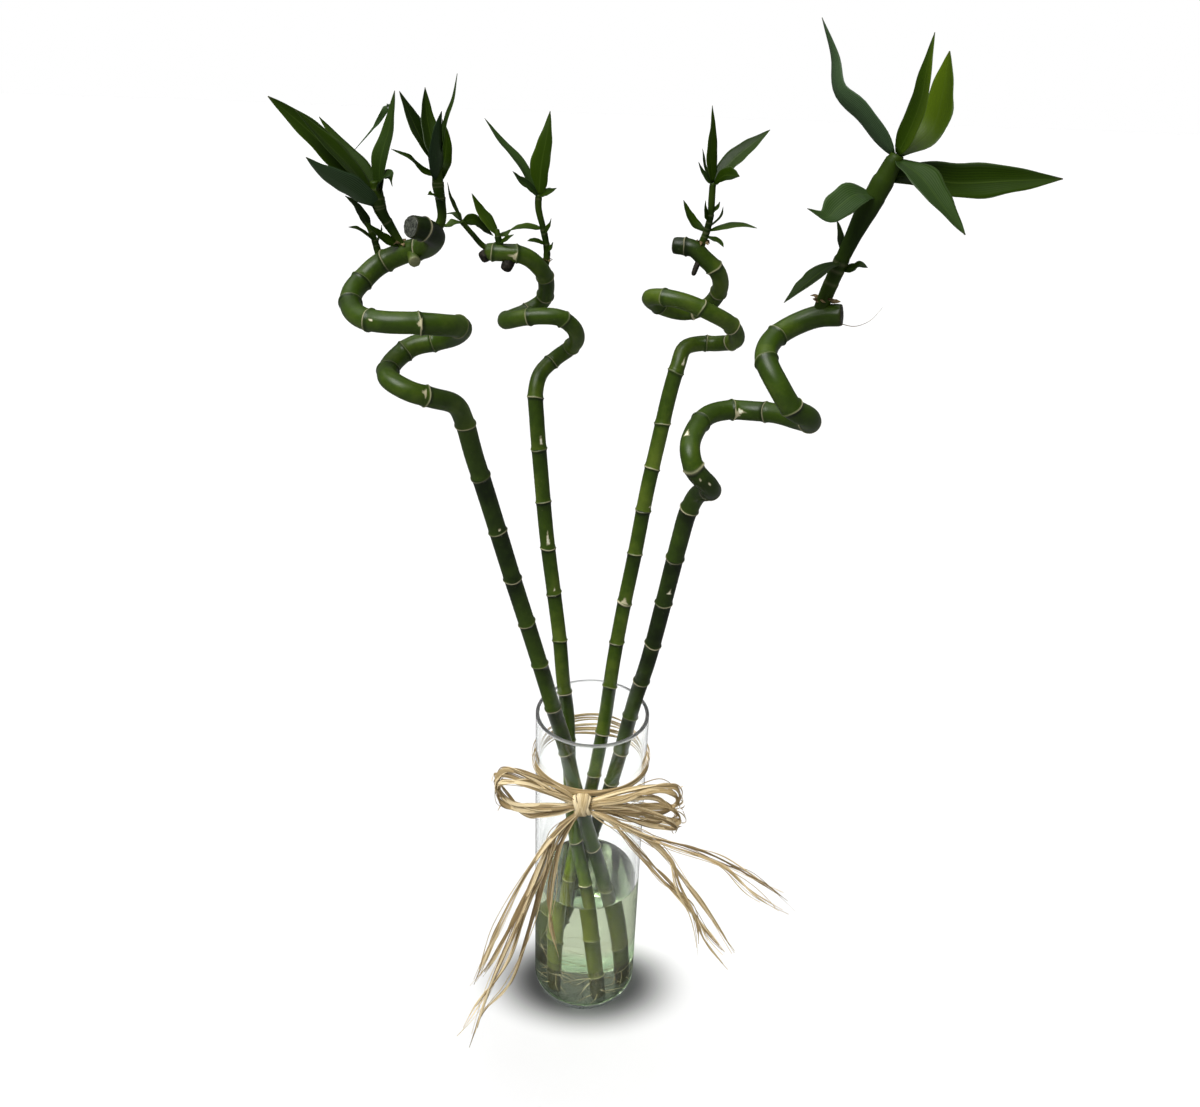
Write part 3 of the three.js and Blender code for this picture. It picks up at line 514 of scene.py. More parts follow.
rng = np.random.default_rng(7)
canes = {}
for name, cane in CANES.items():
    growth = Growth(cane["route"])
    rings = np.array(cane["rings"]) / 1000
    close = np.concatenate([[-2.6, -1.9], np.arange(-1.4, 1.5, 0.2), [1.9, 2.6]]) / 1000
    distances = np.unique(np.clip(np.concatenate(
        [np.arange(0, growth.length, 0.0022), growth.length - np.array([0, 0.4, 0.9, 1.5]) / 1000,
         (rings[:, None] + close).ravel()]
        + [at / 1000 + np.linspace(-1.5, 1.5, 9) * long / 1000 for at, _, long, _ in cane["nicks"]]),
        0, growth.length).round(6))
    angles = np.linspace(0, 2 * np.pi, CANE_SIDES, endpoint=False)

    # A ring isn't square to the cane: it dips on the side that its bud grew on.
    grid = np.repeat(distances[:, None], CANE_SIDES, axis=1)
    offset = np.full_like(grid, 1.0)
    pick = np.zeros(grid.shape, int)
    for k, ring in enumerate(rings):
        bud_side = 2.4 * k
        dip = 0.0007 * np.cos(angles - bud_side) + 0.0002 * np.sin(3 * angles + k)
        gap = grid - ring - dip[None]
        nearer = np.abs(gap) < np.abs(offset)
        offset = np.where(nearer, gap, offset)
        pick = np.where(nearer, k, pick)
    swell = RING_SWELL * np.exp(-(offset / 0.0014) ** 2)
    lip = 0.00022 * np.exp(-((offset + 0.0002) / 0.00035) ** 2)
    groove = -0.00016 * np.exp(-((offset - 0.0007) / 0.0004) ** 2)
    taper = cane["foot"] + (cane["top"] - cane["foot"]) * distances / growth.length
    to_end = np.exp(-(growth.length - distances) / 0.0008)
    chipped = 0.11 + 0.02 * np.sin(5 * angles + 1) + 0.02 * np.sin(11 * angles)
    body_radius = (taper[:, None] + swell + lip + groove) * (1 - to_end[:, None] * chipped[None])
    vertices = tube_rings(growth, distances, body_radius, CANE_SIDES)
    piece = new_piece(f"{name}_skin", vertices,
                      tube_faces(len(distances), CANE_SIDES) + end_faces(len(distances), CANE_SIDES))
    piece.data.materials.append(skin)
    piece.data.materials.append(cut_end)
    for end in piece.data.polygons[-2:]:
        end.material_index = 1
        end.use_smooth = False

    # Each length of skin between two rings is darkest under its upper ring and pales downward.
    upper = np.searchsorted(rings, distances)
    ends = np.concatenate([[0], rings, [growth.length]])
    share = (distances - ends[upper]) / np.maximum(ends[upper + 1] - ends[upper], 1e-4)
    own = rng.uniform(-0.10, 0.10, len(rings) + 1)
    straight = np.clip((0.490 - growth.at(distances)[:, 2]) / 0.03, 0, 1)
    tone = 0.13 + 0.42 * cane["yellow"] + 0.12 * (1 - straight) - cane["shade"] * straight
    tone += (0.3 + 0.7 * straight) * (own[upper] + (0.30 + 0.2 * cane["yellow"]) * (
        0.55 - share ** 2.2))
    tone -= 0.30 * cane["dark_end"] * np.clip((distances - growth.length + 0.030) / 0.02, 0, 1)
    tone = np.repeat(tone[:, None], CANE_SIDES, axis=1)
    tone -= 0.22 * np.exp(-((offset + 0.0011) / 0.0008) ** 2)
    tone += 0.10 * np.cos(angles[None] - 1.3 * upper[:, None] - 0.8) * (0.4 + 0.6 * straight[:, None])
    paleness = rng.uniform(0.55, 1.0, len(rings))
    around = 0.62 + 0.38 * np.cos(angles[None] - 1.9 * pick)
    cork = paleness[pick] * around * np.exp(-(offset / 0.00028) ** 2)
    for k, ring in enumerate(rings):
        if round(ring * 1000) in cane["scars"]:
            round_scar = np.exp(-(offset / 0.0007) ** 2) * (pick == k)
            cork = np.maximum(cork, 1.5 * round_scar * (0.6 + 0.4 * np.cos(angles - 2.4 * k))[None])
    # A nick that runs round the cane only bares cork, and others bare the wood.
    for at, turn, long, wide in cane["nicks"]:
        around = (np.degrees(angles) - turn + 180) % 360 - 180
        up = (grid - at / 1000) * 1000 / long
        sideways = np.abs(np.radians(around) * cane["foot"] * 1000 / wide)[None]
        ragged = 0.15 * np.sin(grid * 2600 + angles[None] * 5)
        deep = 1 if wide > 1.5 * long else 2
        inside = 1.1 + ragged - np.maximum(1.2 * sideways + 0.5 * up, -up)
        cork = np.maximum(cork, np.clip(inside * 4, 0, deep))
    mark(piece, "tone", np.clip(tone, 0, 1))
    mark(piece, "cork", np.clip(cork, 0, 2))
    heights = np.array([v[2] for v in vertices])
    mark(piece, "soaked", np.clip((0.118 - heights) / 0.010, 0, 1))
    browned = np.clip((0.040 + 0.004 * np.sin(heights * 900) - heights) / 0.010, 0, 1) * 0.95
    mark(piece, "old", np.maximum(browned, np.repeat(0.8 * to_end, CANE_SIDES)))
    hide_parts(name)
    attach(piece, "root")
    canes[name] = growth


knob_bark, tree, shader = new_finish("knob_bark", Roughness=0.6, Specular_IOR_Level=0.2)
lumps_of_bark = noise(tree, 500, 4)
link(tree, ramp(tree, lumps_of_bark, (0.4, (0.010, 0.009, 0.006)), (0.8, (0.055, 0.045, 0.028))),
     shader.inputs["Base Color"])
bumps(tree, shader, lumps_of_bark, 0.0008)

# Stubs of cut side shoots, and dark knobs of dried roots, stand out of the canes' tops. Each runs
# from inside the cane to its tip.
KNOBS = {
    "cane_1": [((-101, -52, 586), (-98, -60, 582), 3.0, "stub")],
    "cane_2": [((-69, 33, 572), (-76, 31, 568), 3.8, "knob"),
               ((-57, 31, 571), (-61, 27, 562), 3.3, "knob")],
    "cane_3": [((56, 42, 572), (52, 38, 561), 1.7, "knob")],
}
for name, knobs in KNOBS.items():
    for k, (start, tip, radius, kind) in enumerate(knobs):
        middle = [(a + b) / 2 for a, b in zip(start, tip)]
        growth = Growth([start, middle, tip])
        share = np.array([0, 0.3, 0.55, 0.75, 0.9, 0.97, 1.0])
        profile = np.array([1.0, 1.0, 1.02, 0.98, 0.86, 0.62, 0.3]) * radius / 1000
        if kind == "stub":
            profile = np.array([1.0, 0.96, 0.94, 0.98, 1.04, 1.0, 0.8]) * radius / 1000
        lumps = 1 + (0.04 if kind == "stub" else 0.12) * np.sin(np.arange(14) * 2.7 + k)
        vertices = tube_rings(growth, share * growth.length, profile[:, None] * lumps[None], 14)
        piece = new_piece(f"{name}_{kind}_{k}", vertices, tube_faces(7, 14) + end_faces(7, 14))
        piece.data.materials.append(skin if kind == "stub" else knob_bark)
        mark(piece, "tone", np.full(len(vertices), 0.55))
        mark(piece, "cork", np.repeat(share ** 6 * 0.35, 14))
        mark(piece, "soaked", np.zeros(len(vertices)))
        mark(piece, "old", np.zeros(len(vertices)))
        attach(piece, "root")

# Fine roots, pale where they are young and brown where they are old, curl out of each foot and lie
# along the bottom of the vase.
root_skin, tree, shader = new_finish("root_skin", Roughness=0.6, Specular_IOR_Level=0.3)
link(tree, ramp(tree, noise(tree, 60, 2), (0.40, (0.16, 0.10, 0.03)), (0.65, (0.62, 0.56, 0.34))),
     shader.inputs["Base Color"])
for name, growth in canes.items():
    vertices, faces = [], []
    for k in range(30):
        hair = k > 13
        height = (0.012 + 0.045 * rng.random()) if hair else (0.003 + 0.022 * rng.random())
        start = growth.at(np.array([height]))[0]
        heading = math.radians(137.5 * k + 20 * rng.random())
        out = np.array([math.cos(heading), math.sin(heading), 0.0])
        reach = rng.uniform(0.014, 0.034) if hair else rng.uniform(0.008, 0.024)
        drop = min(rng.uniform(0.002, 0.010), start[2] - VASE_BASE - 0.0012)
        swing = np.array([-out[1], out[0], 0]) * rng.uniform(-0.006, 0.006)
        spots = [start + out * 0.003, start + out * reach * 0.55 + swing * 0.6 - (0, 0, drop * 0.3),
                 start + out * reach + swing * 1.6 - (0, 0, drop)]
        for spot in spots:
            wide = math.hypot(spot[0], spot[1])
            if wide > BORE - 0.0035:
                spot[:2] *= (BORE - 0.0035) / wide
            spot[2] = max(spot[2], VASE_BASE + 0.0012)
        root = Growth([tuple(spot * 1000) for spot in spots])
        share = np.linspace(0, 1, 12)
        radii = (0.00011 if hair else 0.00032) * (1 - 0.7 * share)
        faces += tube_faces(12, 6, len(vertices)) + end_faces(12, 6, len(vertices))
        vertices += list(tube_rings(root, share * root.length, radii, 6))
    roots = new_piece(f"{name}_roots", vertices, faces)
    roots.data.materials.append(root_skin)
    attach(roots, "root")


# ---- The water ------------------------------------------------------------------------------
# Clear tap water, slightly green from the canes, which fills under half of the vase and creeps up
# the glass at its edge. It touches the glass, so it is a hair wider than the bore.
WATER_LEVEL = 0.113
TOUCH = 0.00004
water_edge = BORE + TOUCH

water = turned("water_body", [
    (0, VASE_BASE - TOUCH), (0.012, VASE_BASE - TOUCH),
    *bend(BORE - VASE_INNER_HEEL, VASE_BASE + VASE_INNER_HEEL, VASE_INNER_HEEL + TOUCH, -90, 0, 12),
    (water_edge, 0.06), (water_edge, WATER_LEVEL + 0.0011),
    (BORE - 0.0004, WATER_LEVEL + 0.0007), (BORE - 0.0010, WATER_LEVEL + 0.0003),
    (BORE - 0.0019, WATER_LEVEL + 0.0001), (BORE - 0.0032, WATER_LEVEL),
    (0.015, WATER_LEVEL), (0, WATER_LEVEL)])
tap_water, _, _ = new_finish("tap_water", Base_Color=(0.47, 0.52, 0.37, 1), Roughness=0.0,
                             IOR=1.333, Transmission_Weight=1.0)
water.data.materials.append(tap_water)
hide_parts("water")
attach(water, "root")

# Clear glass and water let the studio's light through to the canes.
gather("clear_things", "EXCLUDE", vase, water, blockers=[light_above, light_front, light_on_sheet])


# ---- The leafy shoots -----------------------------------------------------------------------
# Side shoots that sprout from the canes' tops. Each is a thin stem wrapped in the sheaths of its
# leaves, and the leaves are thin folded blades with fine parallel veins, glossy above.

# A leaf's numbers: how far up the stem it grows, its rib's points in mm, its width in mm, its turn
# about the rib in degrees, where it is widest, how light its green is, which paints in the light and
# shade on it too, and how much painted grey-green sheen lies on it.
SHOOTS = {
    "shoot_1_left": {
        "radii": [2.0, 2.0, 2.5, 3.0, 2.3],
        "stem": [
            (-103, -50, 583), (-110, -52, 596), (-115, -54, 606),
            (-116, -55, 614), (-117, -56, 620)],
        "leaves": [
            (0.72, [(-131, -57, 627), (-147, -58, 643), (-164, -60, 657)], 16, -44, 0.50, 0.30, 0.00),
            (0.72, [(-127, -60, 627), (-137, -63, 638), (-150, -66, 652)], 14, -30, 0.46, 0.34, 0.00),
            (0.80, [(-126, -44, 625), (-136, -38, 634), (-148, -32, 647)], 12, -2, 0.42, 0.48, 0.00),
            (0.68, [(-128, -66, 619), (-138, -72, 626), (-144, -76, 632)], 15, 39, 0.42, 0.30, 0.35),
            (0.76, [(-113, -58, 630), (-108, -56, 645), (-105, -52, 661)], 11, 37, 0.42, 0.30, 0.10),
            (0.92, [(-112, -48, 638), (-109, -44, 655), (-118, -42, 644), (-130, -40, 632)],
             4, 17, 0.42, 0.45, 0.40),
            (0.88, [(-111, -62, 623), (-107, -66, 624), (-106, -66, 619)], 9, 42, 0.42, 0.12, 0.10),
            (0.15, [(-113, -55, 592), (-117, -58, 596), (-122, -60, 601)], 7, -42, 0.42, 0.25, 0.00),
            (0.50, [(-117, -54, 606), (-119, -55, 609), (-121, -56, 611)], 8, -30, 0.42, 0.10, 0.00),
        ]},
    "shoot_1_bud": {
        "radii": [2, 1.6, 1.4],
        "stem": [(-118, -48, 579), (-121, -46, 590), (-124, -46, 598)],
        "leaves": [
            (0.80, [(-127, -44, 602), (-131, -44, 608), (-135, -44, 611)], 8, -12, 0.42, 0.10, 0.00),
            (0.56, [(-124, -52, 594), (-127, -55, 597), (-131, -58, 598)], 5, -36, 0.42, 0.30, 0.00),
            (0.43, [(-120, -40, 590), (-119, -38, 593), (-119, -36, 596)], 4, -44, 0.42, 0.30, 0.00),
        ]},
    "shoot_1_right": {
        "radii": [2.6, 2.2, 2.2, 2.6, 2],
        "stem": [(-86, -70, 598), (-82, -70, 605), (-82, -70, 613), (-83, -70, 621), (-83, -70, 629)],
        "leaves": [
            (0.98, [(-91, -64, 641), (-96, -60, 650), (-102, -56, 661)], 11, 5, 0.50, 0.02, 0.00),
            (0.98, [(-87, -62, 643), (-89, -58, 652), (-90, -54, 663)], 9, 10, 0.42, 0.20, 0.00),
            (0.98, [(-91, -56, 643), (-94, -50, 648), (-98, -46, 653)], 7, 89, 0.42, 0.30, 0.20),
            (0.98, [(-77, -76, 650), (-73, -78, 660), (-71, -78, 670)], 6, 59, 0.42, 0.35, 0.10),
            (0.78, [(-82, -76, 633), (-81, -78, 644), (-79, -76, 654)], 11, 23, 0.42, 0.20, 0.00),
            (0.74, [(-80, -66, 632), (-79, -66, 642), (-80, -68, 650)], 8, 41, 0.42, 0.35, 0.00),
            (0.88, [(-90, -78, 629), (-93, -84, 634), (-101, -88, 638)], 6, -42, 0.42, 0.25, 0.00),
            (0.56, [(-83, -76, 616), (-84, -80, 618), (-86, -83, 618)], 7, -32, 0.42, 0.30, 0.00),
        ]},
    "shoot_2_tip": {
        "radii": [1.8, 1.7, 1.5, 1.3],
        "stem": [(-67, 32, 573), (-74, 33, 575), (-80, 30, 582), (-86, 26, 590)],
        "leaves": [
            (0.98, [(-89, 24, 598), (-91, 20, 604), (-92, 18, 612)], 4, -72, 0.42, 0.45, 0.00),
            (0.98, [(-89, 22, 590), (-93, 20, 588), (-97, 18, 588)], 8, -12, 0.42, 0.50, 0.00),
            (0.98, [(-79, 32, 590), (-74, 36, 585), (-69, 40, 580)], 8, 57, 0.42, 0.30, 0.00),
            (0.98, [(-89, 30, 593), (-92, 34, 593), (-97, 38, 592)], 5, -13, 0.42, 0.25, 0.00),
        ]},
    "shoot_2_bud": {
        "radii": [2.2, 2, 1.5],
        "stem": [(-63, 31, 573), (-65, 31, 580), (-66, 32, 585)],
        "leaves": [
            (0.69, [(-71, 34, 589), (-76, 36, 595), (-81, 38, 604)], 9, -17, 0.42, 0.50, 0.00),
            (0.68, [(-63, 36, 581), (-61, 39, 582), (-58, 42, 584)], 5, 12, 0.42, 0.40, 0.00),
            (0.42, [(-61, 27, 580), (-58, 24, 582), (-55, 22, 584)], 5, 48, 0.42, 0.30, 0.00),
        ]},
    "shoot_2_right": {
        "radii": [2.1, 1.9, 1.8, 1.8, 1.9, 1.8],
        "stem": [
            (-39, 41, 559), (-37, 42, 567), (-37, 42, 574),
            (-39, 42, 584), (-42, 42, 596), (-42, 42, 604)],
        "leaves": [
            (0.96, [(-41, 44, 620), (-38, 46, 635), (-36, 50, 649)], 14, 7, 0.36, 0.42, 0.00),
            (0.98, [(-53, 46, 621), (-64, 48, 632), (-74, 50, 644)], 8, -22, 0.42, 0.38, 0.25),
            (0.98, [(-48, 36, 610), (-52, 32, 613), (-56, 28, 618)], 7, -61, 0.42, 0.25, 0.20),
            (0.98, [(-37, 38, 606), (-34, 36, 607), (-31, 34, 609)], 6, 48, 0.42, 0.30, 0.00),
            (0.51, [(-37, 38, 585), (-35, 36, 588), (-34, 34, 592)], 4, 83, 0.42, 0.30, 0.00),
            (0.38, [(-42, 38, 578), (-45, 35, 579), (-48, 32, 579)], 5, -34, 0.42, 0.30, 0.00),
            (0.27, [(-36, 40, 573), (-34, 39, 575), (-33, 38, 578)], 4, 67, 0.42, 0.30, 0.00),
            (0.57, [(-47, 40, 586), (-53, 38, 586), (-59, 36, 584)], 6, -28, 0.42, 0.50, 0.00),
        ]},
    "shoot_3": {
        "radii": [2.6, 2, 1.8, 2, 1.7],
        "stem": [(54, 44, 573), (58, 42, 584), (60, 40, 595), (60, 40, 606), (60, 40, 614)],
        "leaves": [
            (0.98, [(58, 42, 629), (58, 45, 642), (57, 48, 655)], 10, 27, 0.32, 0.45, 0.00),
            (0.98, [(69, 44, 625), (80, 48, 634), (92, 52, 643)], 12, 34, 0.42, 0.28, 0.00),
            (0.98, [(65, 34, 619), (69, 28, 620), (73, 22, 620)], 11, 54, 0.42, 0.18, 0.00),
            (0.98, [(55, 42, 622), (54, 44, 627), (53, 46, 632)], 5, 14, 0.42, 0.35, 0.00),
            (0.98, [(55, 36, 618), (52, 34, 622), (50, 32, 626)], 5, -63, 0.42, 0.30, 0.20),
            (0.33, [(51, 44, 591), (47, 46, 597), (44, 48, 603)], 7, -27, 0.42, 0.30, 0.00),
            (0.48, [(57, 37, 597), (56, 35, 601), (56, 34, 605)], 5, -90, 0.42, 0.40, 0.00),
            (0.58, [(62, 40, 599), (64, 40, 601), (65, 40, 604)], 4, 27, 0.42, 0.40, 0.00),
            (0.39, [(64, 44, 592), (67, 46, 595), (68, 48, 600)], 4, -16, 0.42, 0.35, 0.00),
            (0.34, [(69, 38, 590), (78, 34, 592), (87, 30, 591)], 6, 30, 0.42, 0.45, 0.00),
            (0.28, [(63, 36, 583), (66, 32, 582), (68, 28, 580)], 6, 6, 0.42, 0.25, 0.00),
        ]},
    "shoot_4": {
        "radii": [3.6, 3.4, 3.4, 3.9, 5.0, 4.8, 3.3],
        "stem": [
            (109, -66, 564), (111, -67, 573), (114, -68, 584), (117, -70, 595),
            (123, -72, 613), (129, -74, 628), (134, -76, 642)],
        "leaves": [
            (0.98, [(116, -72, 659), (105, -67, 668), (102, -61, 682), (95, -56, 698)],
             11, 60, 0.32, 0.34, 0.55),
            (0.98, [(137, -82, 657), (138, -86, 667), (138, -87, 678), (140, -84, 693)],
             12, 82, 0.32, 0.55, 0.00),
            (0.98, [(148, -74, 653), (151, -72, 667), (152, -70, 686)], 19, 15, 0.45, 0.78, 0.00),
            (0.86, [(145, -72, 633), (166, -66, 630), (195, -60, 631), (222, -56, 632)],
             20, 53, 0.46, 0.26, 0.00),
            (0.98, [(142, -92, 635), (150, -102, 625), (161, -110, 612)], 17, 15, 0.42, 0.36, 0.22),
            (0.76, [(115, -84, 625), (106, -92, 620), (100, -98, 616), (90, -102, 620)],
             16, -28, 0.42, 0.36, 0.30),
            (0.37, [(115, -66, 600), (115, -63, 604), (113, -60, 610)], 7, 29, 0.42, 0.10, 0.00),
            (0.35, [(106, -78, 589), (97, -86, 584), (86, -92, 575)], 13, 4, 0.42, 0.02, 0.00),
            (0.29, [(122, -72, 589), (124, -74, 591), (128, -76, 590)], 6, 40, 0.42, 0.10, 0.00),
            (0.21, [(117, -66, 585), (118, -64, 588), (119, -62, 591)], 8, -32, 0.42, 0.30, 0.00),
        ]},
}

LEAF_FOLD = 0.22
LEAF_ROWS, LEAF_COLUMNS = 26, 9


def leaf_outline(share, fullest):
    bulge = np.sin(np.pi * np.minimum(share, 0.9995) ** (math.log(0.5) / math.log(fullest)))
    blade = np.maximum(bulge, 0) ** 0.78 * (1 - 0.25 * share ** 2)
    return np.maximum(0.03, blade * (1 - 0.6 * np.exp(-share / 0.07)) + 0.25 * (1 - share) ** 7)


def leaf_blade(base, rib, width, turn, fullest, draw):
    """Vertices and faces of a thin closed blade, with each vertex's place on it."""
    growth = Growth([tuple(base * 1000), *rib])
    share = 1 - (1 - np.linspace(0, 1, LEAF_ROWS)) ** 1.15
    centres, ways = growth.at(share * growth.length), growth.along(share * growth.length)
    chord = centres[-1] - centres[0]
    chord /= np.linalg.norm(chord)
    face = np.array([0, 0, 1.0]) - chord * chord[2]
    face /= np.linalg.norm(face)
    face = face * math.cos(math.radians(turn)) + np.cross(chord, face) * math.sin(math.radians(turn))
    across = np.linspace(-1, 1, LEAF_COLUMNS)
    waves = draw.uniform(0, 6, 3)
    layers = {1: [], -1: []}
    for k, (centre, way) in enumerate(zip(centres, ways)):
        out = face - way * face.dot(way)
        out /= np.linalg.norm(out)
        side = np.cross(way, out)
        reach = leaf_outline(share[k], fullest) * width / 2000
        ripple = 0.05 * np.sin(9 * share[k] + waves[0] + across) + 0.03 * np.sin(17 * share[k] + waves[1])
        rise = (LEAF_FOLD * (np.abs(across) ** 1.3 - 0.5) + ripple * across ** 2) * reach
        trim = 1 + 0.04 * np.sin(23 * share[k] + waves[2]) * np.abs(across)
        for layer in layers:
            thick = layer * 0.00016 * (1 - 0.6 * across ** 2)
            layers[layer].append(centre + side * (across * trim * reach)[:, None]
                                 + out * (rise + thick)[:, None])
    vertices = np.array(layers[1] + layers[-1]).reshape(-1, 3)
    faces = []
    under = LEAF_ROWS * LEAF_COLUMNS
    for row in range(LEAF_ROWS - 1):
        for column in range(LEAF_COLUMNS - 1):
            a = row * LEAF_COLUMNS + column
            b = a + LEAF_COLUMNS
            faces += [(a, a + 1, b + 1, b), (under + a, under + b, under + b + 1, under + a + 1)]
        a, b = row * LEAF_COLUMNS, (row + 1) * LEAF_COLUMNS
        faces.append((a, b, under + b, under + a))
        a, b = a + LEAF_COLUMNS - 1, b + LEAF_COLUMNS - 1
        faces.append((a, under + a, under + b, b))
    last = (LEAF_ROWS - 1) * LEAF_COLUMNS
    for a in range(LEAF_COLUMNS - 1):
        faces.append((a, under + a, under + a + 1, a + 1))
        b = last + a
        faces.append((b, b + 1, under + b + 1, under + b))
    marks = {"across": np.tile(across, LEAF_ROWS * 2), "along": np.tile(np.repeat(share, LEAF_COLUMNS), 2),
             "under": np.repeat([0.0, 1.0], under)}
    return vertices, faces, marks


leaf_skin, tree, shader = new_finish("leaf_skin", Roughness=0.30, Specular_IOR_Level=0.14)
across, along, tone = (read_mark(tree, mark_name) for mark_name in ("across", "along", "tone"))
vein = sums(tree, "SINE", sums(tree, "MULTIPLY", across, 46))
vein = sums(tree, "ADD", sums(tree, "MULTIPLY", vein, 0.5), 0.5)
upper_green = ramp(tree, tone, (0.0, (0.005, 0.014, 0.001)), (0.5, (0.023, 0.051, 0.001)),
                   (1.0, (0.11, 0.18, 0.006)))
upper_green = blend(tree, sums(tree, "MULTIPLY", vein, 0.15), upper_green, (0.055, 0.100, 0.004))
middle_rib = ramp(tree, sums(tree, "ABSOLUTE", across), (0.0, (1, 1, 1)), (0.07, (0, 0, 0)))
upper_green = blend(tree, sums(tree, "MULTIPLY", middle_rib, 0.30), upper_green, (0.09, 0.145, 0.02))
margin = ramp(tree, sums(tree, "ABSOLUTE", across), (0.90, (0, 0, 0)), (0.98, (1, 1, 1)))
upper_green = blend(tree, sums(tree, "MULTIPLY", margin, 0.35), upper_green, (0.13, 0.19, 0.07))
under_green = ramp(tree, tone, (0.0, (0.014, 0.032, 0.012)), (1.0, (0.070, 0.115, 0.040)))
colour = blend(tree, read_mark(tree, "under"), upper_green, under_green)
# Painted sheen: a streaky grey-green laid over the leaf's colour where the leaf looks glossy.
painted_sheen_grey = ramp(tree, vein, (0.2, (0.024, 0.060, 0.022)), (0.9, (0.100, 0.160, 0.080)))
colour = blend(tree, read_mark(tree, "painted_sheen"), colour, painted_sheen_grey)
dry_tip = ramp(tree, along, (0.955, (0, 0, 0)), (1.0, (1, 1, 1)))
colour = blend(tree, sums(tree, "MULTIPLY", dry_tip, 0.55), colour, (0.06, 0.045, 0.02))
link(tree, colour, shader.inputs["Base Color"])
bumps(tree, shader, vein, 0.00005, 0.6)

stem_skin, tree, shader = new_finish("stem_skin", Roughness=0.40, Specular_IOR_Level=0.15)
stem_green = ramp(tree, sums(tree, "ADD", read_mark(tree, "tone"), sums(
    tree, "MULTIPLY", sums(tree, "SUBTRACT", noise(tree, 220, 3), 0.5), 0.3)),
    (0.0, (0.012, 0.028, 0.002)), (1.0, (0.052, 0.092, 0.006)))
link(tree, blend(tree, read_mark(tree, "cork"), stem_green, (0.30, 0.28, 0.16)),
     shader.inputs["Base Color"])

draw = np.random.default_rng(21)
for name, shoot in SHOOTS.items():
    growth = Growth(shoot["stem"])
    share = np.linspace(0, 1, 60)
    spans = np.linspace(0, 1, len(shoot["radii"]))
    radius = np.interp(share, spans, shoot["radii"]) / 1000
    joints = sorted({leaf[0] for leaf in shoot["leaves"]})
    sheath = np.zeros_like(share)
    for joint in joints:
        below = joint - share
        sheath = np.maximum(sheath, np.where(below >= 0, np.exp(-below / 0.16), 0))
    wrap = radius[:, None] * (1 + 0.16 * sheath[:, None] * (1 + 0.3 * np.cos(
        np.linspace(0, 2 * np.pi, 16, endpoint=False) + 5 * sheath[:, None])))
    vertices = list(tube_rings(growth, share * growth.length, wrap, 16))
    faces = tube_faces(60, 16) + end_faces(60, 16)
    stem = new_piece(f"{name}_stem", vertices, faces)
    stem.data.materials.append(stem_skin)
    mark(stem, "tone", np.repeat(0.35 + 0.25 * np.sin(9 * share) - 0.25 * sheath, 16))
    mark(stem, "cork", np.repeat(np.where((sheath > 0.93) | (share < 0.03), 0.18, 0.0), 16))
    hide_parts(name)
    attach(stem, "root")

    for k, (place, rib, width, turn, fullest, light, painted_sheen) in enumerate(shoot["leaves"]):
        axis = growth.at(np.array([place * growth.length]))[0]
        outward = np.array(rib[0]) / 1000 - axis
        stem_radius = np.interp(place, spans, shoot["radii"]) / 1000
        base = axis + outward / np.linalg.norm(outward) * 0.6 * stem_radius
        vertices, faces, marks = leaf_blade(base, rib, width, turn, fullest, draw)
        blade = new_piece(f"{name}_leaf_{k + 1}", vertices, faces)
        blade.data.materials.append(leaf_skin)
        for mark_name, values in marks.items():
            mark(blade, mark_name, values)
        # A leaf's tone holds its own green and, painted in with it, the light and shade that fall on it.
        tone = light + (0.15 if k % 2 else -0.15) * marks["across"] - 0.14 * np.exp(-marks["along"] / 0.15)
        mark(blade, "tone", np.clip(tone, 0, 1))
        mark(blade, "painted_sheen", np.full(len(vertices), painted_sheen))
        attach(blade, "root")


# Brown dry scraps of the first sheaths cling round the feet of the bigger shoots, and one torn
# fibre sticks out of a cane's cut end.
dry_skin, tree, shader = new_finish("dry_sheath", Roughness=0.8, Specular_IOR_Level=0.1)
link(tree, ramp(tree, noise(tree, 400, 3), (0.35, (0.050, 0.030, 0.012)), (0.7, (0.36, 0.27, 0.14))),
     shader.inputs["Base Color"])
for name, size in (("shoot_4", 6.5), ("shoot_3", 4.0), ("shoot_1_left", 4.5), ("shoot_2_right", 3.5)):
    shoot = SHOOTS[name]
    foot = Growth(shoot["stem"]).at(np.array([0.0075]))[0] * 1000
    for k in range(7):
        heading = 0.9 * k + draw.uniform(-0.3, 0.3)
        out = np.array([math.cos(heading), math.sin(heading), 0.0])
        start = foot + out * shoot["radii"][0] * 0.8
        rib = [tuple(start + out * size * 0.3 + (0, 0, size * draw.uniform(0.0, 0.3))),
               tuple(start + out * size * draw.uniform(0.5, 0.9) + (0, 0, size * draw.uniform(-0.3, 0.5)))]
        vertices, faces, _ = leaf_blade(start / 1000, rib, size * 0.5, draw.uniform(-40, 40), 0.4, draw)
        scrap = new_piece(f"{name}_scrap_{k + 1}", vertices, faces)
        scrap.data.materials.append(dry_skin)
        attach(scrap, "root")
fibre_route = Growth([(119, -72, 561), (127, -72, 560), (134, -72, 563), (140, -71, 570)])
share = np.linspace(0, 1, 24)
vertices = tube_rings(fibre_route, share * fibre_route.length, 0.00022 * (1 - 0.7 * share), 6)
fibre = new_piece("cane_4_fibre", vertices, tube_faces(24, 6) + end_faces(24, 6))
fibre.data.materials.append(dry_skin)
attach(fibre, "root")


# ---- The raffia band ------------------------------------------------------------------------
# Dry, slightly glossy strips of palm leaf, wound a few times round the vase below its rim. Each
# strip is flat, uneven in width and streaked along its length.
BAND_HEIGHT = 0.226


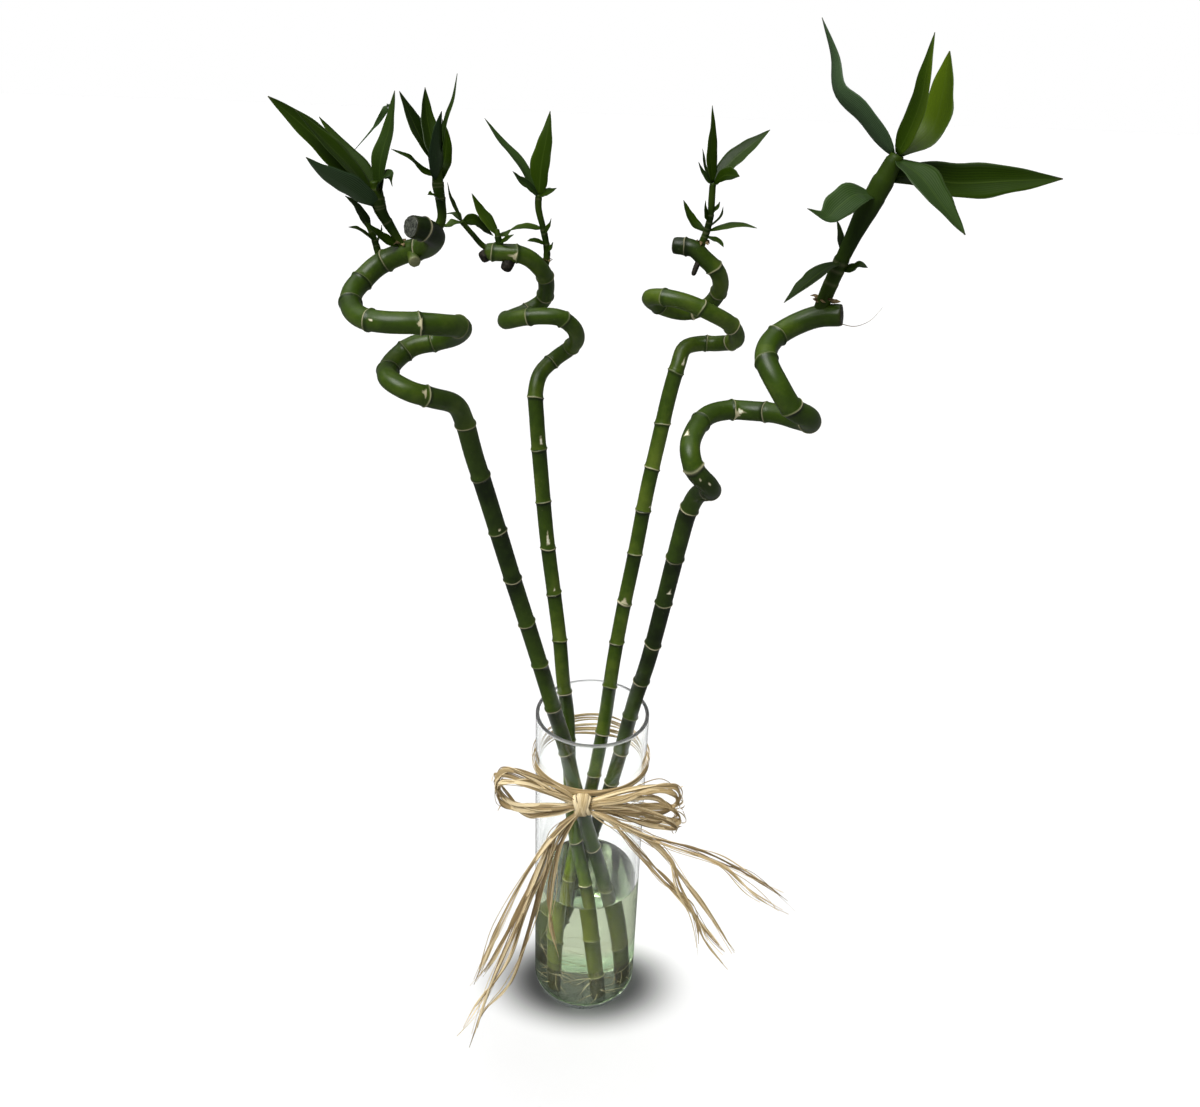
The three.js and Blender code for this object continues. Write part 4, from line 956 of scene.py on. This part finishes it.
def ribbon(centres, acrosses, outs, widths, thickness=0.00022, cup=0.0):
    """A thin flat strip of five lanes, with its edges cupped outward, and its marks."""
    lanes = np.linspace(-1, 1, 5)
    sheets = []
    for layer in (1, -1):
        lift = layer * thickness * (1 - 0.7 * lanes[None] ** 2) + cup * widths[:, None] * lanes[None] ** 2
        sheets.append(centres[:, None] + acrosses[:, None] * (lanes[None] * widths[:, None] / 2)[..., None]
                      + outs[:, None] * lift[..., None])
    rows = len(centres)
    vertices = np.concatenate(sheets, axis=1)
    order = [0, 1, 2, 3, 4, 9, 8, 7, 6, 5]
    vertices = vertices[:, order].reshape(-1, 3)
    across = np.tile(lanes[[0, 1, 2, 3, 4, 4, 3, 2, 1, 0]], rows)
    return vertices, tube_faces(rows, 10), end_faces(rows, 10), across


class Strips:
    """Gathers ribbons into one piece."""

    def __init__(self):
        self.vertices, self.faces, self.across, self.along, self.tone = [], [], [], [], []

    def add(self, centres, acrosses, outs, widths, tone, closed=False, **shape):
        vertices, sides, ends, across = ribbon(centres, acrosses, outs, widths, **shape)
        first = len(self.vertices)
        if closed:
            rows = len(centres)
            sides = sides + [(a, b, b % 10, a % 10) for a, b in
                             [((rows - 1) * 10 + i, (rows - 1) * 10 + (i + 1) % 10) for i in range(10)]]
            ends = []
        self.faces += [tuple(first + i for i in face) for face in sides + ends]
        self.vertices += list(vertices)
        self.across += list(across)
        reach = np.concatenate([[0], np.cumsum(np.linalg.norm(np.diff(centres, axis=0), axis=1))])
        self.along += list(np.repeat(reach, 10))
        self.tone += [tone] * len(vertices)

    def piece(self, name, finish):
        piece = new_piece(name, self.vertices, self.faces)
        piece.data.materials.append(finish)
        mark(piece, "across", self.across)
        mark(piece, "along", self.along)
        mark(piece, "tone", self.tone)
        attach(piece, "root")
        return piece


raffia_fibre, tree, shader = new_finish("raffia_fibre", Roughness=0.55, Specular_IOR_Level=0.35)
lengthwise = tree.nodes.new("ShaderNodeCombineXYZ")
link(tree, sums(tree, "MULTIPLY", read_mark(tree, "across"), 2.2), lengthwise.inputs["X"])
link(tree, sums(tree, "MULTIPLY", read_mark(tree, "along"), 22.0), lengthwise.inputs["Y"])
link(tree, sums(tree, "MULTIPLY", read_mark(tree, "tone"), 9.0), lengthwise.inputs["Z"])
streaks = tree.nodes.new("ShaderNodeTexNoise")
streaks.inputs["Scale"].default_value = 2.6
streaks.inputs["Detail"].default_value = 4.0
link(tree, lengthwise.outputs["Vector"], streaks.inputs["Vector"])
straw = ramp(tree, sums(tree, "ADD", sums(tree, "MULTIPLY", read_mark(tree, "tone"), 0.45),
                        sums(tree, "MULTIPLY", streaks.outputs["Fac"], 0.65)),
             (0.28, (0.27, 0.19, 0.09)), (0.5, (0.52, 0.38, 0.18)), (0.76, (0.95, 0.79, 0.49)))
link(tree, straw, shader.inputs["Base Color"])
bumps(tree, shader, streaks.outputs["Fac"], 0.00025, 0.8)

weave = np.random.default_rng(33)
strips = Strips()
turns = np.linspace(0, 2 * np.pi, 120, endpoint=False)
behind = 0.5 - 0.5 * np.cos(turns + np.pi / 2)
for k, spread in enumerate((-1.0, -0.7, -0.45, 0.0, 0.3, 0.65, 1.0)):
    phases = weave.uniform(0, 6.28, 3)
    middle = (BAND_HEIGHT - 0.0010 + spread * (0.0018 + 0.0066 * behind ** 2)
              + 0.0007 * np.sin(2 * turns + phases[0]) + 0.0003 * np.sin(5 * turns + phases[1]))
    slack = 0.0005 * ((3 * k) % 4) * np.abs(np.cos(turns)) ** 3
    radius = VASE_RADIUS + 0.0005 + 0.00026 * (k % 3) + 0.0002 * np.sin(3 * turns + phases[2]) + slack
    outs = np.stack([np.cos(turns), np.sin(turns), np.zeros_like(turns)], axis=1)
    centres = outs * radius[:, None] + np.stack([0 * turns, 0 * turns, middle], axis=1)
    upright = np.tile([0, 0, 1.0], (len(turns), 1))
    widths = 0.0019 * (1 + 0.3 * np.sin(3 * turns + phases[1]))
    strips.add(centres, upright, outs, widths, weave.uniform(0.2, 0.9), closed=True, thickness=0.00015)
band = strips.piece("raffia_band_strips", raffia_fibre)
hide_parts("raffia_band")


# ---- The raffia bow -------------------------------------------------------------------------
# The strips' ends are crossed in front and tied in a bow: a tight knot, a looped bundle to each
# side and the cut ends hanging from the knot. Dry raffia is stiff, and keeps its bends.

# Points in mm along each strip, from the knot outward.
LOOP_LEFT = [
    [(-6, -47, 222), (-20, -50, 235), (-40, -50, 244), (-57, -47, 248), (-64, -42, 231),
     (-60, -41, 214), (-41, -44, 210), (-20, -46, 216), (-6, -47, 220)],
    [(-6, -47, 221), (-23, -53, 233), (-43, -54, 242), (-59, -50, 239), (-61, -44, 226),
     (-53, -44, 217), (-30, -47, 218), (-6, -47, 220)],
    [(-6, -47, 221), (-22, -49, 231), (-42, -47, 239), (-58, -44, 243), (-63, -39, 235),
     (-60, -38, 220), (-42, -42, 207), (-22, -46, 213), (-6, -47, 220)],
]
LOOP_RIGHT = [
    [(-2, -47, 222), (20, -50, 235), (40, -51, 242), (58, -47, 239), (62, -43, 224), (52, -46, 215),
     (31, -50, 218), (-2, -48, 221)],
    [(-2, -47, 222), (22, -55, 232), (41, -57, 242), (57, -52, 237), (59, -46, 221), (45, -47, 221),
     (24, -49, 222), (-2, -48, 221)],
    [(-2, -47, 222), (22, -52, 225), (41, -53, 221), (57, -50, 211), (61, -44, 200), (46, -43, 200),
     (25, -45, 208), (-2, -47, 220)],
    [(-2, -47, 222), (21, -49, 228), (44, -49, 229), (58, -46, 217), (62, -42, 204), (46, -42, 206),
     (25, -44, 214), (-2, -47, 220)],
]
TAILS_LEFT = [
    [(-6, -49, 217), (-22, -54, 203), (-33, -60, 175), (-50, -64, 129), (-64, -64, 93), (-85, -62, 52)],
    [(-6, -49, 217), (-22, -55, 202), (-32, -62, 176), (-48, -69, 132), (-68, -74, 73), (-84, -86, 11)],
    [(-6, -49, 217), (-20, -53, 203), (-29, -58, 172), (-42, -62, 141), (-55, -70, 95), (-78, -76, 51),
     (-94, -80, 17)],
    [(-6, -49, 217), (-24, -56, 201), (-39, -66, 180), (-60, -72, 134), (-72, -70, 94), (-86, -68, 50)],
    [(-6, -49, 217), (-19, -52, 199), (-27, -56, 169), (-40, -60, 114), (-56, -66, 64), (-76, -70, 39),
     (-82, -76, 18)],
    [(-6, -49, 217), (-18, -52, 191), (-25, -50, 132), (-25, -49, 107), (-18, -48, 73)],
]
TAILS_RIGHT = [
    [(-2, -49, 217), (12, -51, 212), (33, -50, 185), (54, -53, 160), (72, -56, 143), (87, -60, 110),
     (105, -66, 86)],
    [(-2, -49, 217), (12, -51, 212), (33, -51, 186), (53, -54, 163), (72, -58, 142), (91, -62, 115),
     (106, -68, 100)],
    [(-2, -49, 217), (12, -51, 213), (41, -52, 197), (57, -54, 181), (65, -58, 161), (78, -62, 132),
     (84, -66, 95)],
    [(-2, -49, 218), (14, -52, 213), (37, -54, 201), (70, -54, 192), (91, -53, 182), (117, -52, 164),
     (147, -52, 140)],
    [(-2, -49, 218), (14, -52, 213), (37, -55, 200), (57, -56, 195), (92, -58, 179), (117, -60, 158),
     (144, -62, 138)],
    [(-2, -49, 217), (12, -51, 212), (43, -52, 193), (75, -54, 150), (112, -58, 90)],
]

KNOT = np.array([-0.0050, -0.0485, 0.2215])


def lay_strip(strips, route, cross, draw, spread=0.0009, width=0.0030, end=True):
    """Lays a strip along a route, off it by a little and turned a little at each place."""
    wander = [np.array(point, float) + (0 if i == 0 else 1) * draw.normal(0, spread * 700, 3)
              for i, point in enumerate(route)]
    wander[0] = np.array(route[0], float) + draw.normal(0, 0.5, 3)
    growth = Growth([tuple(point) for point in wander])
    reach = growth.length * (draw.uniform(0.82, 1.0) if end else 1.0)
    distances = np.arange(0, reach, 0.0016)
    centres, ways = growth.at(distances), growth.along(distances)
    share = distances / reach
    across = np.array(cross, float)[None] - ways * (ways @ np.array(cross, float))[:, None]
    across /= np.linalg.norm(across, axis=1, keepdims=True)
    outs = np.cross(ways, across)
    twist = (0.5 * np.sin(5 * share + draw.uniform(0, 6)) + 0.35 * np.sin(13 * share + draw.uniform(0, 6)))
    twist = twist * np.minimum(1, share * 6)
    acrosses = across * np.cos(twist)[:, None] + outs * np.sin(twist)[:, None]
    outs = outs * np.cos(twist)[:, None] - across * np.sin(twist)[:, None]
    widths = width * (1 + 0.22 * np.sin(9 * share + draw.uniform(0, 6)) + 0.1 * np.sin(31 * share))
    if end:
        widths = widths * np.clip((1 - share) * 9, 0.25, 1)
    strips.add(centres, acrosses, outs, widths, draw.uniform(-0.15, 1.0), cup=draw.uniform(-0.10, 0.12))


for name, node, routes, cross, width, end in (
        ("raffia_loop_left_strips", "raffia_loop_left", LOOP_LEFT, (0, 0.75, 0.65), 0.0030, False),
        ("raffia_loop_right_strips", "raffia_loop_right", LOOP_RIGHT, (0, 0.75, 0.65), 0.0030, False),
        ("raffia_tails_left_strips", "raffia_tails_left", TAILS_LEFT, (0.75, -0.3, 0.6), 0.0026, True),
        ("raffia_tails_right_strips", "raffia_tails_right", TAILS_RIGHT, (0.75, -0.3, 0.6), 0.0024, True)):
    strips = Strips()
    for route in routes:
        for k, share_of_width in enumerate((0.95, 0.75, 0.6, 0.45, 0.3, 0.2)):
            lay_strip(strips, route, cross, weave, spread=(0.0010 + 0.0005 * k) * (0.9 if end else 1),
                      width=width * share_of_width * (0.75 if end else 1), end=end)
        if not end:
            outer = np.array(max(route, key=lambda point: abs(point[0])), float)
            for _ in range(4):
                start = outer + weave.normal(0, 1, 3) * (1.5, 1, 7)
                tip = start + np.array([np.sign(outer[0]) * weave.uniform(1, 4), weave.uniform(-3, 2),
                                        weave.uniform(-11, 7)])
                bent = (start + tip) / 2 + weave.normal(0, 1.2, 3)
                lay_strip(strips, [tuple(start), tuple(bent), tuple(tip)], cross, weave, spread=0.0002,
                          width=0.0006, end=True)
    piece = strips.piece(name, raffia_fibre)
    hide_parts(node)

strips = Strips()
for k in range(9):
    lean = 0.35 + weave.uniform(-0.15, 0.15) if k % 4 else -0.45
    shift = -0.0034 + 0.00085 * k
    angles = np.linspace(0, 2 * np.pi, 60, endpoint=False)
    big = 1 - 0.10 * abs(k - 4) / 4 + weave.uniform(-0.04, 0.06)
    outs = np.stack([np.sin(lean) * np.sin(angles), np.cos(angles), np.cos(lean) * np.sin(angles)], axis=1)
    centres = KNOT + np.array([shift, 0, 0]) + outs * np.array([0.0062, 0.0052, 0.0092]) * big
    centres[:, 1] = np.minimum(centres[:, 1], -0.0432)
    ways = np.gradient(centres, axis=0)
    ways /= np.linalg.norm(ways, axis=1, keepdims=True)
    acrosses = np.cross(outs, ways)
    acrosses /= np.linalg.norm(acrosses, axis=1, keepdims=True)
    strips.add(centres, acrosses, outs, np.full(60, 0.0027), weave.uniform(0.4, 1.0), closed=True,
               cup=-0.08)
knot = strips.piece("raffia_knot_wraps", raffia_fibre)
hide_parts("raffia_knot")
